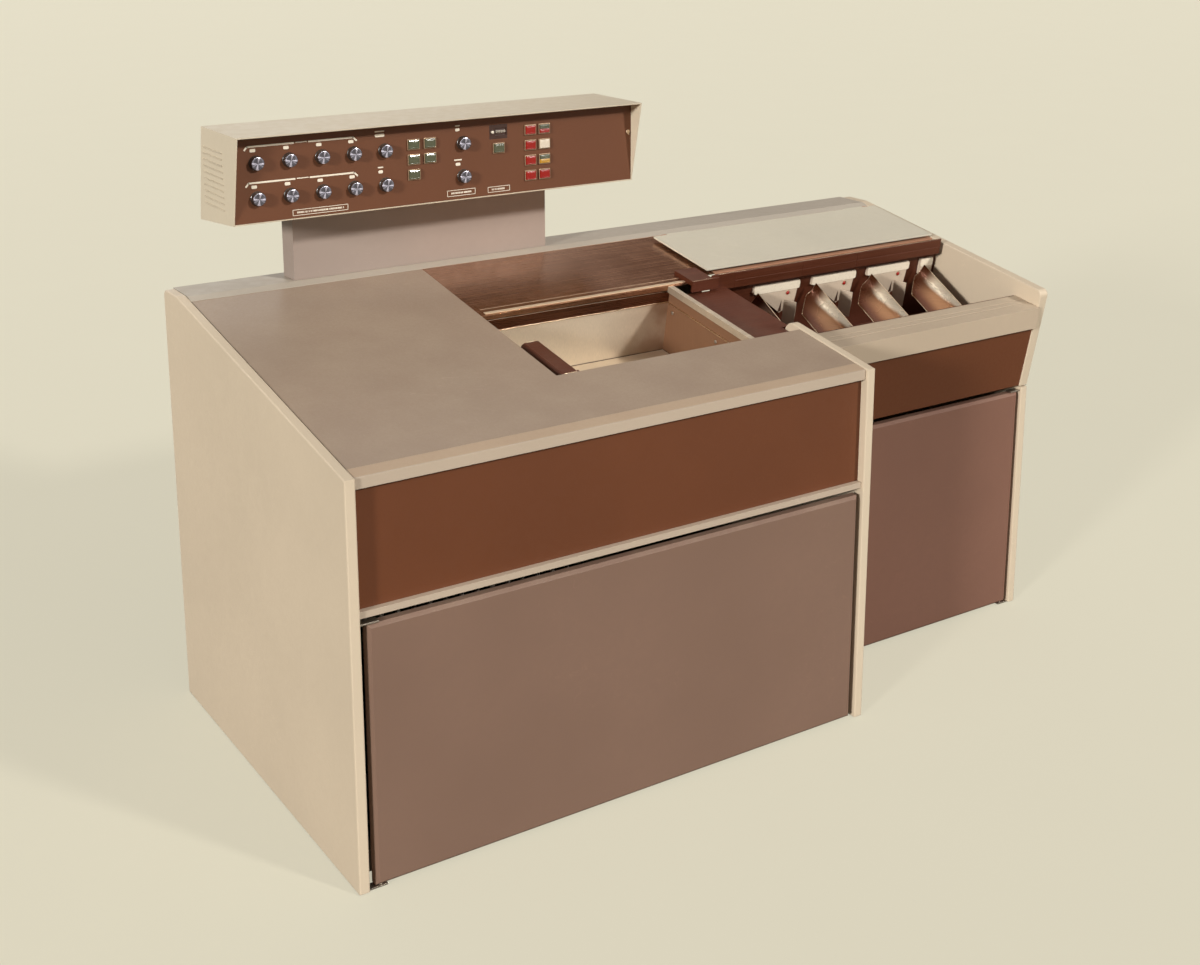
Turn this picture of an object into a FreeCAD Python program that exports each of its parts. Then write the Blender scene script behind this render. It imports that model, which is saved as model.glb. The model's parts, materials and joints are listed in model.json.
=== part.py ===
"""Free-standing card sorter: desk-height cabinet, feed hopper, raised control console, four pockets.

Lengths are millimetres and angles are degrees. Every piece is drawn in one of two frames:
the bench frame, whose origin is the lower left front corner of the left side panel, with X to the
right, Y to the back and Z up; or the deck frame, which has the same X and leans with the work deck,
so that its Z is the height above the deck. The finished part stands on Z = 0, centred on X and Y.
"""
import FreeCAD, Part
import os
import re
import Sketcher
from FreeCAD import Placement, Rotation, Vector

doc = FreeCAD.newDocument("CardSorter")

# Driving sizes
SIZES = {
    # cabinet
    "total_width": 1827,
    "main_width": 1143,
    "cabinet_depth": 866,
    "deck_height": 755,
    "deck_slope": 9.8,
    "rear_flat": 76,
    "panel_thickness": 20,
    "panel_rise": 2,
    "floor_gap": 2,
    "edge_round": 3,
    "corner_round": 14,
    "divider_reach": 261,
    "divider_low": 560,
    "divider_round": 24,
    # right cabinet
    "right_thickness": 25,
    "right_step": 1,
    "nose_depth": 170,
    "foot_depth": 218,
    "split_height": 545,
    "split_gap": 4,
    # base and feet
    "frame_setback": 30,
    "frame_bottom": 20,
    "frame_height": 40,
    "frame_rail": 30,
    "frame_floor": 4,
    "foot_radius": 22,
    "foot_pad": 9,
    "stem_radius": 7,
    "foot_inset": 60,
    # rear panels
    "rear_thickness": 3,
    "rear_inset": 4,
    "vent_length": 220,
    "vent_height": 6,
    "vent_pitch": 18,
    "vent_count": 9,
    "vent_drop": 120,
    # doors
    "door_thickness": 20,
    "door_recess": 1.5,
    "door_lift": 6,
    "door_bevel": 6,
    "main_door_top": 495,
    "main_door_left_gap": 13,
    "main_door_right_gap": 11,
    "right_door_top": 534,
    "right_door_left_gap": 7,
    "right_door_right_gap": 8,
    "pin_inset": 11,
    "pin_radius": 4,
    "pin_reach": 14,
    "pin_fit": 0.05,
    "bracket_thickness": 3,
    "bracket_gap": 1,
    # front of the main cabinet
    "rail_bottom": 508,
    "rail_height": 12,
    "fascia_recess": 18,
    "fascia_thickness": 12,
    "trim_recess": 6,
    "trim_depth": 38,
    # deck
    "slab_thickness": 20,
    "slab_clear": 1,
    "ledge_depth": 105.3,
    "ledge_flat_depth": 86,
    "ledge_thickness": 20,
    "ledge_lip": 1,
    # right front lip and fascia
    "lip_drop": 36,
    "lip_front": 172,
    "lip_skirt": 50,
    "lip_lean": 6,
    "bay_front": 247,
    "lip_back_height": 30,
    "groove_first": 204,
    "groove_pitch": 16,
    "groove_width": 2.4,
    "groove_depth": 2,
    "fascia_foot": 550,
    "fascia_back": 3,
    # hopper well
    "well_left": 530,
    "well_right_margin": 143,
    "well_front": 213,
    "well_back": 510,
    "well_depth": 154,
    "sheet": 2,
    "back_slot": 14,
    "rail_overhang": 9,
    "rail_outer_drop": 30,
    "rail_inner_drop": 14,
    # pusher
    "pusher_left": 548,
    "pusher_width": 40,
    "pusher_back": 380,
    "pusher_top": 5,
    "pusher_height": 48,
    "pusher_chamfer": 9,
    "carriage_gap": 1.5,
    "carriage_depth": 13.5,
    "rod_radius": 5,
    "rod_fit": 0.05,
    "rod_drop": 40,
    # feed deck plate and roller
    "plate_thickness": 3,
    "plate_lip_line": 505,
    "plate_lip_drop": 10,
    "plate_band": 50,
    "band_rise": 1,
    "plate_notch_gap": 2,
    "cheek_setback": 15,
    "cheek_drop": 48,
    "cheek_width": 44,
    "feed_radius": 15,
    "feed_drop": 27,
    "feed_shaft": 5,
    "feed_end_gap": 6,
    "running_fit": 0.05,
    "end_float": 0.4,
    # transport
    "beam_overhang": 48,
    "beam_right_gap": 16,
    "beam_front": 487,
    "beam_drop": 21,
    "beam_rise": 17,
    "beam_wall": 3,
    "beam_width": 44,
    "entry_width": 55,
    "entry_tongue": 17,
    "entry_front": 483,
    "entry_back": 552,
    "entry_rise": 12,
    "entry_skirt": 14,
    "bed_window_width": 46,
    "bed_window_depth": 34,
    "transport_line": 630,
    "transport_radius": 22,
    "transport_width": 38,
    "transport_shaft": 6,
    "transport_proud": 3,
    "axle_left_gap": 23,
    "axle_right_gap": 1,
    "lug_width": 12,
    # cover
    "cover_overhang": 28,
    "cover_right_gap": 3,
    "cover_front": 533,
    "cover_top": 12,
    "cover_thickness": 4,
    "hinge_setback": 22,
    "hinge_rise": 6,
    "barrel_radius": 4.6,
    "hinge_pin": 2.4,
    "knuckle_length": 60,
    "knuckle_gap": 0.5,
    "knuckle_inset": 40,
    # pocket bay
    "bay_overhang": 6,
    "bay_drop": 15,
    "bay_sheet": 3,
    "bay_depth": 187,
    "bay_back": 511,
    "chute_left_gap": 96,
    "chute_right_gap": 57.4,
    "chute_count": 4,
    "chute_radius": 48,
    "chute_sheet": 1.6,
    "chute_sweep": 97,
    "chute_length": 240,
    "chute_tilt": 19.6,
    "chute_line": 487,
    "chute_drop": 45,
    "rim_swing": 44,
    "chute_foot": 40,
    "guide_offset": 2,
    "guide_gap": 39.2,
    "guide_top": 37,
    "guide_bar": 19,
    "guide_bar_depth": 8,
    "guide_sheet": 2,
    "guide_point_inset": 50,
    "guide_point_drop": 112,
    "guide_side_drop": 93,
    "wing_width": 30,
    "wing_height": 60,
    "wing_drop": 142,
    "wing_angle": 60,
    "end_guide_gap": 9,
    "end_guide_width": 12,
    "end_guide_height": 26,
    # pedestal
    "pedestal_left": 250,
    "pedestal_width": 604,
    "pedestal_setback": 80,
    "pedestal_depth": 57,
    "pedestal_wall": 3,
    # console
    "console_left": 77.5,
    "console_width": 923.5,
    "console_reach": 130,
    "console_bottom": 1050,
    "console_top": 1226,
    "hood_reach": 39,
    "console_depth": 188,
    "console_back_lean": 32,
    "console_fall": 17,
    "console_wall": 2.5,
    "face_thickness": 4,
    "louvre_count": 10,
    "louvre_pitch": 12.5,
    "louvre_first": 1072,
    "louvre_height": 3,
    "louvre_setback": 44,
    "louvre_length": 108,
    # knobs
    "knob_first": 128.5,
    "knob_pitch": 68.2,
    "knob_high": 1169.6,
    "knob_row_drop": 69.6,
    "rate_knob_gap": 177.7,
    "skirt_radius": 14.6,
    "skirt_height": 1.2,
    "skirt_slope": 0.8,
    "cap_radius": 13.5,
    "knob_height": 12.5,
    "cap_chamfer": 1,
    "shaft_radius": 3,
    "shaft_length": 20,
    "knob_float": 0.4,
    # buttons
    "bezel_width": 28,
    "bezel_height": 22,
    "bezel_wall": 1.8,
    "bezel_proud": 2.5,
    "button_gap": 0.3,
    "button_proud": 5.5,
    "button_inside": 12,
    "button_round": 1,
    "green_first": 465,
    "green_pitch": 37,
    "green_top": 1176.5,
    "green_row": 31,
    "start_place": 663,
    "start_height": 1152,
    "group_first": 740,
    "group_pitch": 34.5,
    "group_top": 1184,
    "group_row": 32.5,
    # counter
    "counter_left": 642,
    "counter_width": 43,
    "counter_bottom": 1171,
    "counter_height": 30,
    "counter_inside": 45,
    "counter_recess": 2,
    "counter_rim": 2.5,
    "reset_radius": 3.2,
    "reset_inset": 7,
    "reset_proud": 4,
    "reset_inside": 9,
    # machinery inside
    "motor_offset": 197,
    "motor_length": 170,
    "motor_radius": 62,
    "motor_line": 470,
    "motor_rise": 90,
    "pulley_radius": 34,
    "pulley_width": 22,
    "motor_shaft": 8,
    "motor_shaft_length": 40,
    "motor_foot_width": 150,
    "rack_left": 140,
    "rack_width": 520,
    "rack_front": 320,
    "rack_depth": 340,
    "rack_height": 360,
    "rack_sheet": 3,
    "board_count": 14,
    "board_thickness": 2.4,
    "board_inset": 12,
    "supply_left": 760,
    "supply_width": 260,
    "supply_height": 210,
}

# Sizes that follow from the driving ones
WORKED = {
    "knee_depth": "cabinet_depth - rear_flat",
    "ledge_line": "(cabinet_depth - ledge_depth) / cos(deck_slope)",
    "ledge_flat": "cabinet_depth - ledge_flat_depth",
    "well_right": "main_width - well_right_margin",
    "beam_left": "main_width - beam_overhang",
    "plate_notch_left": "beam_left - plate_notch_gap",
    "entry_left": "beam_left - entry_width",
    "entry_right": "beam_left + entry_tongue",
    "cover_left": "main_width - cover_overhang",
    "bay_left": "main_width - bay_overhang",
    "plate_right": "bay_left - slab_clear",
    "end_guide_left": "bay_left + end_guide_gap",
    "chute_first": "bay_left + chute_left_gap",
    "guide_first": "chute_first + guide_offset",
    "pedestal_front": "cabinet_depth - pedestal_setback",
    "console_front": "pedestal_front - console_reach",
    "console_back_bottom": "console_front + console_depth",
    "console_back_top": "console_back_bottom - console_back_lean",
    "louvre_front": "console_front + louvre_setback",
    "motor_left": "main_width + motor_offset",
    "rate_knob_place": "knob_first + 4 * knob_pitch + rate_knob_gap",
    "hinge_line": "ledge_line - hinge_setback",
    "divider_left": "main_width - panel_thickness",
    "right_inner": "total_width - right_step - right_thickness",
    "beam_right": "right_inner - beam_right_gap",
    "chute_pitch": "(right_inner - chute_right_gap - chute_first) / (chute_count - 1)",
    "guide_width": "chute_pitch - guide_gap",
    "guide_point": "guide_width - guide_point_inset",
    "axle_left": "bay_left + axle_left_gap",
    "transport_pitch": "(right_inner - axle_right_gap - axle_left) / chute_count",
    "transport_first": "axle_left + transport_pitch / 2",
    "lower_right": "total_width - panel_thickness",
    "deck_under": "deck_height - slab_thickness / cos(deck_slope)",
    "panel_front": "deck_height + panel_rise",
    "knee_height": "panel_front + knee_depth * tan(deck_slope)",
    "nose_height": "panel_front + nose_depth * tan(deck_slope)",
    "upper_bottom": "split_height + split_gap",
    "ledge_y": "ledge_line * cos(deck_slope)",
    "ledge_z": "deck_height + ledge_line * sin(deck_slope)",
    "main_pin_x": "panel_thickness + main_door_left_gap + pin_inset",
    "main_pin_y": "door_recess + door_thickness / 2",
    "right_door_edge": "lower_right - right_door_right_gap",
    "right_pin_x": "right_door_edge - pin_inset",
    "right_pin_y": "foot_depth + door_recess + door_thickness / 2",
    "lip_height": "deck_height - lip_drop / cos(deck_slope)",
    "lip_top": "lip_height + lip_front * tan(deck_slope)",
    "lip_bottom": "lip_top - lip_skirt",
    "nose_lean": "(foot_depth - nose_depth) / (nose_height - upper_bottom)",
    "beam_back": "beam_front + beam_width",
    "rod_line": "well_front + carriage_gap + carriage_depth / 2",
    "feed_line": "plate_lip_line + cheek_setback + cheek_width / 2",
    "feed_left": "well_left + slab_clear + beam_wall + feed_end_gap",
    "feed_right": "well_right - feed_end_gap",
    "transport_axis": "transport_proud - transport_radius",
    "cabinet_floor": "frame_bottom + frame_floor",
    "button_width": "bezel_width - 2 * bezel_wall - 2 * button_gap",
    "button_height": "bezel_height - 2 * bezel_wall - 2 * button_gap",
    "console_inner": "console_left + console_wall",
    "console_inner_width": "console_width - 2 * console_wall",
    "console_lean": "hood_reach / (console_top - console_bottom)",
    "underside_fall": "console_fall / (console_back_bottom - console_front)",
}

sizes = doc.addObject("Spreadsheet::Sheet", "Sizes")
for row, (name, number) in enumerate(SIZES.items(), 1):
    sizes.set("A%d" % row, name)
    sizes.set("B%d" % row, str(number))
    sizes.setAlias("B%d" % row, name)
doc.recompute()


def formula(text):
    """Put the sheet's name in front of each size that a formula uses."""
    def full_name(match):
        word = match.group()
        if word in SIZES:
            return "Sizes." + word
        if word in WORKED:
            return "Worked." + word
        return word
    return re.sub(r"[a-z_]+", full_name, str(text))


worked = doc.addObject("Spreadsheet::Sheet", "Worked")
for row, (name, text) in enumerate(WORKED.items(), 1):
    worked.set("A%d" % row, name)
    worked.setAlias("B%d" % row, name)
for row, text in enumerate(WORKED.values(), 1):
    worked.set("B%d" % row, "=" + formula(text).replace("Worked.", ""))
doc.recompute()


def bind(thing, prop, text):
    """Tie one property of an object to a formula in the sizes."""
    thing.setExpression(prop, formula(text))


def value(text):
    """Work out a formula as a number, for picking edges and counts."""
    return float(sizes.evalExpression(formula(text)))


def box(name, x, y, z):
    """A plain block between pairs of formulas in X, Y and Z."""
    block = doc.addObject("Part::Box", name)
    for axis, side, (low, high) in zip("xyz", ("Length", "Width", "Height"), (x, y, z)):
        bind(block, "Placement.Base." + axis, low)
        bind(block, side, "(%s) - (%s)" % (high, low))
    return block


TURNS = {
    "x": Rotation(Vector(0, 1, 0), 90),
    "y": Rotation(Vector(1, 0, 0), -90),
    "z": Rotation(),
}


def rod(name, axis, start, radius, length):
    """A round bar from a start point, along one axis."""
    bar = doc.addObject("Part::Cylinder", name)
    bar.Placement = Placement(Vector(), TURNS[axis])
    for letter, place in zip("xyz", start):
        bind(bar, "Placement.Base." + letter, place)
    bind(bar, "Radius", radius)
    bind(bar, "Height", length)
    return bar


def cut(name, base, tools):
    """The base with every tool taken away."""
    piece = doc.addObject("Part::Cut", name)
    piece.Base = base
    piece.Tool = tools[0] if len(tools) == 1 else fuse(name + "_tools", tools)
    return piece


def fuse(name, shapes):
    """Several shapes welded into one."""
    piece = doc.addObject("Part::MultiFuse", name)
    piece.Shapes = shapes
    piece.Refine = True
    return piece


def group(name, shapes):
    """Separate solids that share one node."""
    piece = doc.addObject("Part::Compound", name)
    piece.Links = shapes
    return piece


def origin_plane(body, role):
    """One of a body's own origin planes."""
    return next(item for item in body.Origin.OriginFeatures if item.Role == role)


def polygon(body, name, plane, outline, start):
    """A closed sketch of straight sides, its corners tied to formulas, on one of the body's planes."""
    sketch = body.newObject("Sketcher::SketchObject", name)
    sketch.AttachmentSupport = [(origin_plane(body, plane + "_Plane"), "")]
    sketch.MapMode = "FlatFace"
    corners = [Vector(value(across), value(up), 0) for across, up in outline]
    count = len(corners)
    for index, corner in enumerate(corners):
        sketch.addGeometry(Part.LineSegment(corner, corners[(index + 1) % count]), False)
    for index in range(count):
        sketch.addConstraint(Sketcher.Constraint("Coincident", index, 2, (index + 1) % count, 1))
    for index, (across, up) in enumerate(outline):
        for kind, text in (("DistanceX", across), ("DistanceY", up)):
            place = Sketcher.Constraint(kind, -1, 1, index, 1, value(text))
            number = sketch.addConstraint(place)
            bind(sketch, "Constraints[%d]" % number, text)
    bind(sketch, "AttachmentOffset.Base.z", "-(%s)" % start if plane == "XZ" else start)
    return sketch


def plate(name, plane, outline, start, thickness):
    """A body padded from a polygon: along X for YZ, along Y for XZ, and up for XY."""
    body = doc.addObject("PartDesign::Body", name)
    sketch = polygon(body, name + "_outline", plane, outline, start)
    pad = body.newObject("PartDesign::Pad", name + "_pad")
    pad.Profile = sketch
    pad.Reversed = plane == "XZ"
    bind(pad, "Length", thickness)
    return body


def pocket(body, name, plane, outline, start, reach):
    """A polygonal pocket in a body, cut the same way as plate pads."""
    sketch = polygon(body, name + "_outline", plane, outline, start)
    hollow = body.newObject("PartDesign::Pocket", name)
    hollow.Profile = sketch
    hollow.Reversed = plane != "XZ"
    bind(hollow, "Length", reach)
    return hollow


def rectangle(x, y):
    """The four corners between two pairs of formulas."""
    return [(x[0], y[0]), (x[1], y[0]), (x[1], y[1]), (x[0], y[1])]


def repeat(body, feature, axis, count, pitch):
    """Repeat a feature along one of the body's axes."""
    row = body.newObject("PartDesign::LinearPattern", feature.Name + "_row")
    row.Originals = [feature]
    row.Direction = (origin_plane(body, axis + "_Axis"), [""])
    bind(row, "Length", "%s * (%s - 1)" % (pitch, count))
    bind(row, "Occurrences", count)
    body.Tip = row
    return row


def soften(body, kind, size, wanted):
    """Round or chamfer the edges that a test picks out of the body so far."""
    doc.recompute()
    base = body.Tip
    names = [
        "Edge%d" % number
        for number, edge in enumerate(base.Shape.Edges, 1)
        if wanted(*[vertex.Point for vertex in (edge.Vertexes[0], edge.Vertexes[-1])])
    ]
    feature = body.newObject("PartDesign::" + kind, "%s_%s" % (body.Name, kind.lower()))
    feature.Base = (base, names)
    bind(feature, "Radius" if kind == "Fillet" else "Size", size)
    return feature


def near(one, other):
    """Whether two lengths are the same to a thousandth."""
    return abs(one - other) < 0.001


nodes = []


def place(piece, in_deck=False, x="0", y="0", z="0"):
    """Label a finished piece as a node and carry it from its drawing frame to the part's own."""
    piece.Label = piece.Name
    if in_deck:
        piece.Placement = Placement(Vector(), Rotation(Vector(1, 0, 0), value("deck_slope")))
        bind(piece, "Placement.Rotation.Angle", "deck_slope")
        z = "deck_height"
    bind(piece, "Placement.Base.x", "%s - total_width / 2" % x)
    bind(piece, "Placement.Base.y", "%s - cabinet_depth / 2" % y)
    bind(piece, "Placement.Base.z", z)
    nodes.append(piece)


def side_panels():
    """The left side panel and the divider between the two cabinets."""
    rear_top = value("knee_height")

    def show_edge(first, second):
        """Edges along the front, top and back of a panel's two broad faces."""
        same_side = near(first.x, second.x)
        return same_side and max(first.z, second.z) > value("floor_gap") + 1

    left = plate("left_side_panel", "YZ", [
        ("0", "floor_gap"),
        ("cabinet_depth", "floor_gap"),
        ("cabinet_depth", "knee_height"),
        ("knee_depth", "knee_height"),
        ("0", "panel_front"),
    ], "0", "panel_thickness")
    soften(left, "Fillet", "corner_round", lambda a, b: near(a.y, b.y) and near(a.z, rear_top)
           and near(b.z, rear_top) and near(a.y, value("cabinet_depth")))
    soften(left, "Fillet", "edge_round", show_edge)
    place(left)

    divider = plate("divider_panel", "YZ", [
        ("0", "floor_gap"),
        ("cabinet_depth - rear_inset - rear_thickness", "floor_gap"),
        ("cabinet_depth - rear_inset - rear_thickness", "divider_low"),
        ("divider_reach", "divider_low"),
        ("divider_reach", "panel_front + divider_reach * tan(deck_slope)"),
        ("0", "panel_front"),
    ], "divider_left", "panel_thickness")
    soften(divider, "Fillet", "divider_round", lambda a, b: near(a.y, b.y) and near(a.z, b.z)
           and near(a.y, value("divider_reach")))
    soften(divider, "Fillet", "edge_round", lambda a, b: show_edge(a, b)
           and min(a.y, b.y) < value("divider_reach") + 1 and min(a.z, b.z) > 0)
    place(divider)


def right_panels():
    """The right side panel, in a straight lower half and a leaning upper half."""
    lower = plate("right_lower_side_panel", "YZ", rectangle(
        ("foot_depth", "cabinet_depth"), ("floor_gap", "split_height")), "lower_right", "panel_thickness")
    soften(lower, "Fillet", "edge_round", lambda a, b: near(a.x, b.x) and min(a.y, b.y) < value("foot_depth") + 1)
    place(lower)

    upper = plate("right_upper_side_panel", "YZ", [
        ("foot_depth", "upper_bottom"),
        ("cabinet_depth", "upper_bottom"),
        ("cabinet_depth", "knee_height"),
        ("knee_depth", "knee_height"),
        ("nose_depth", "nose_height"),
    ], "right_inner", "right_thickness")
    soften(upper, "Fillet", "corner_round", lambda a, b: near(a.y, b.y) and near(a.z, b.z)
           and (near(a.y, value("nose_depth")) or near(a.y, value("cabinet_depth"))
                and near(a.z, value("knee_height"))))
    soften(upper, "Fillet", "edge_round", lambda a, b: near(a.x, b.x)
           and max(a.z, b.z) > value("upper_bottom") + 1)
    place(upper)


def base():
    """Two pan frames, one in each cabinet, and the feet that they stand on."""
    frames = []
    feet = []
    spans = {
        "main": ("panel_thickness", "divider_left", "frame_setback"),
        "right": ("main_width", "lower_right", "foot_depth + frame_setback"),
    }
    back = "cabinet_depth - rear_inset - rear_thickness"
    for side, (left, right, front) in spans.items():
        block = box(side + "_pan_block", (left, right), (front, back),
                    ("frame_bottom", "frame_bottom + frame_height"))
        hollow = box(side + "_pan_hollow", (left + " + frame_rail", right + " - frame_rail"),
                     (front + " + frame_rail", back + " - frame_rail"),
                     ("cabinet_floor", "frame_bottom + frame_height + 1"))
        frames.append(cut(side + "_pan", block, [hollow]))
        for x_name, x in (("left", left + " + foot_inset"), ("right", right + " - foot_inset")):
            for y_name, y in (("front", front + " + foot_inset"), ("back", back + " - foot_inset")):
                name = "foot_%s_%s_%s" % (side, x_name, y_name)
                pad = rod(name + "_pad", "z", (x, y, "0"), "foot_radius", "foot_pad")
                stem = rod(name + "_stem", "z", (x, y, "0"), "stem_radius", "frame_bottom")
                feet.append(fuse(name, [pad, stem]))
    place(group("base_frame", frames))
    place(group("levelling_feet", feet))


def rear_panels():
    """A louvred sheet behind each cabinet."""
    sheets = []
    top = "knee_height - ledge_thickness"
    spans = {
        "main": ("panel_thickness", "divider_left", rectangle(
            ("panel_thickness", "divider_left"), ("frame_bottom", top))),
        "right": ("divider_left", "right_inner", [
            ("divider_left", "frame_bottom"),
            ("lower_right", "frame_bottom"),
            ("lower_right", "split_height"),
            ("right_inner", "split_height"),
            ("right_inner", top),
            ("divider_left", top),
        ]),
    }
    for side, (left, right, outline) in spans.items():
        sheet = plate(side + "_rear_sheet", "XZ", outline,
                      "cabinet_depth - rear_inset - rear_thickness", "rear_thickness")
        middle = "(%s + %s) / 2" % (left, right)
        lowest = top + " - vent_drop - vent_pitch * vent_count"
        slot = pocket(sheet, side + "_vent", "XZ", rectangle(
            (middle + " - vent_length / 2", middle + " + vent_length / 2"),
            (lowest, lowest + " + vent_height")),
            "cabinet_depth - rear_inset - rear_thickness - 1", "rear_thickness + 2")
        repeat(sheet, slot, "Z", "vent_count", "vent_pitch")
        sheets.append(sheet)
    place(group("rear_panels", sheets))


def doors():
    """Two slab doors on hidden pivot pins, with their brackets."""
    spans = {
        "main_door": ("panel_thickness + main_door_left_gap", "divider_left - main_door_right_gap",
                      "door_recess", "main_door_top", "main_pin_x", "main_pin_y", "panel_thickness"),
        "right_door": ("main_width + right_door_left_gap", "right_door_edge",
                       "foot_depth + door_recess", "right_door_top", "right_pin_x", "right_pin_y",
                       "lower_right"),
    }
    brackets = []
    for name, (left, right, front, top, pin_x, pin_y, wall) in spans.items():
        slab = plate(name + "_slab", "XZ", rectangle((left, right), ("door_lift", top)), front,
                     "door_thickness")
        soften(slab, "Chamfer", "door_bevel", lambda a, b: near(a.y, b.y) and near(a.y, value(front)))
        bores = [
            rod(name + "_bore_low", "z", (pin_x, pin_y, "door_lift - 1"),
                "pin_radius + pin_fit", "pin_reach + 2"),
            rod(name + "_bore_high", "z", (pin_x, pin_y, top + " - pin_reach - 1"),
                "pin_radius + pin_fit", "pin_reach + 2"),
        ]
        place(cut(name, slab, bores))
        sides = (wall, pin_x + " + pin_inset") if name == "main_door" else (pin_x + " - pin_inset", wall)
        for end in ("low", "high"):
            if end == "low":
                arm_low = "door_lift - bracket_gap - bracket_thickness"
                pin_low = arm_low
            else:
                arm_low = top + " + bracket_gap"
                pin_low = top + " - pin_reach"
            arm = box("%s_arm_%s" % (name, end), sides,
                      (pin_y + " - 2 * pin_radius", pin_y + " + 2 * pin_radius"),
                      (arm_low, arm_low + " + bracket_thickness"))
            pin = rod("%s_pin_%s" % (name, end), "z", (pin_x, pin_y, pin_low), "pin_radius",
                      "pin_reach + bracket_gap + bracket_thickness")
            brackets.append(fuse("%s_bracket_%s" % (name, end), [arm, pin]))
    place(group("door_hinges", brackets))


def front_trims():
    """The two bare brown fascias, the pale rail below the main one and the edging of the deck."""
    under = "deck_under + (%s) * tan(deck_slope)"
    fascia = plate("main_fascia", "YZ", [
        ("fascia_recess", "rail_bottom + rail_height"),
        ("fascia_recess + fascia_thickness", "rail_bottom + rail_height"),
        ("fascia_recess + fascia_thickness", under % "fascia_recess + fascia_thickness"),
        ("fascia_recess", under % "fascia_recess"),
    ], "panel_thickness", "divider_left - panel_thickness")

    rail = box("fascia_rail", ("panel_thickness", "divider_left"),
               ("trim_recess", "fascia_recess + fascia_thickness"),
               ("rail_bottom", "rail_bottom + rail_height"))
    edging = plate("deck_edging", "YZ", [
        ("trim_recess", "deck_height + trim_recess * tan(deck_slope)"),
        ("trim_depth * cos(deck_slope)", "deck_height + trim_depth * sin(deck_slope)"),
        ("trim_depth * cos(deck_slope) + slab_thickness * sin(deck_slope)",
         "deck_height + trim_depth * sin(deck_slope) - slab_thickness * cos(deck_slope)"),
        ("trim_recess", under % "trim_recess"),
    ], "panel_thickness", "divider_left - panel_thickness")
    place(group("front_trims", [rail, edging]))

    front = "nose_depth + fascia_back + nose_lean * (nose_height - %s)"
    slanted = plate("right_fascia", "YZ", [
        (front % "lip_bottom", "lip_bottom"),
        (front % "fascia_foot", "fascia_foot"),
        (front % "fascia_foot" + " + fascia_thickness", "fascia_foot"),
        (front % "lip_bottom" + " + fascia_thickness", "lip_bottom"),
    ], "main_width", "right_inner - main_width")
    place(group("brown_fascias", [fascia, slanted]))


def front_lip():
    """The grooved pale lip along the front of the pocket bay."""
    top = "lip_height + (%s) * tan(deck_slope)"
    outline = [("lip_front + lip_lean", "lip_bottom"), ("lip_front", "lip_top")]
    for groove in ("groove_first", "groove_first + groove_pitch"):
        far = groove + " + groove_width"
        outline += [
            (groove, top % groove),
            (groove, top % groove + " - groove_depth"),
            (far, top % far + " - groove_depth"),
            (far, top % far),
        ]
    outline += [
        ("bay_front", top % "bay_front"),
        ("bay_front", top % "bay_front" + " - lip_back_height"),
        ("bay_front - lip_back_height", "lip_bottom"),
    ]
    place(plate("right_front_lip", "YZ", outline, "main_width", "right_inner - main_width"))


def deck_top():
    """The L-shaped laminate slab and the raised ledge that runs along the back."""
    left = "panel_thickness + slab_clear"
    right = "divider_left - slab_clear"
    slab = plate("top_slab", "XY", [
        (left, "trim_depth"),
        (right, "trim_depth"),
        (right, "well_front"),
        ("well_left", "well_front"),
        ("well_left", "ledge_line"),
        (left, "ledge_line"),
    ], "-slab_thickness", "slab_thickness")
    place(slab, in_deck=True)

    profile = [
        ("ledge_y", "ledge_z + ledge_lip"),
        ("ledge_y + slab_thickness * sin(deck_slope)", "ledge_z - slab_thickness * cos(deck_slope)"),
        ("cabinet_depth - rear_inset - rear_thickness", "knee_height - ledge_thickness"),
        ("cabinet_depth", "knee_height - ledge_thickness"),
        ("cabinet_depth", "knee_height"),
        ("ledge_flat", "knee_height"),
    ]
    main = plate("main_ledge", "YZ", profile, "panel_thickness", "main_width - panel_thickness")
    right = plate("right_ledge", "YZ", profile, "main_width", "right_inner - main_width")
    place(group("rear_ledge", [main, right]))


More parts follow.
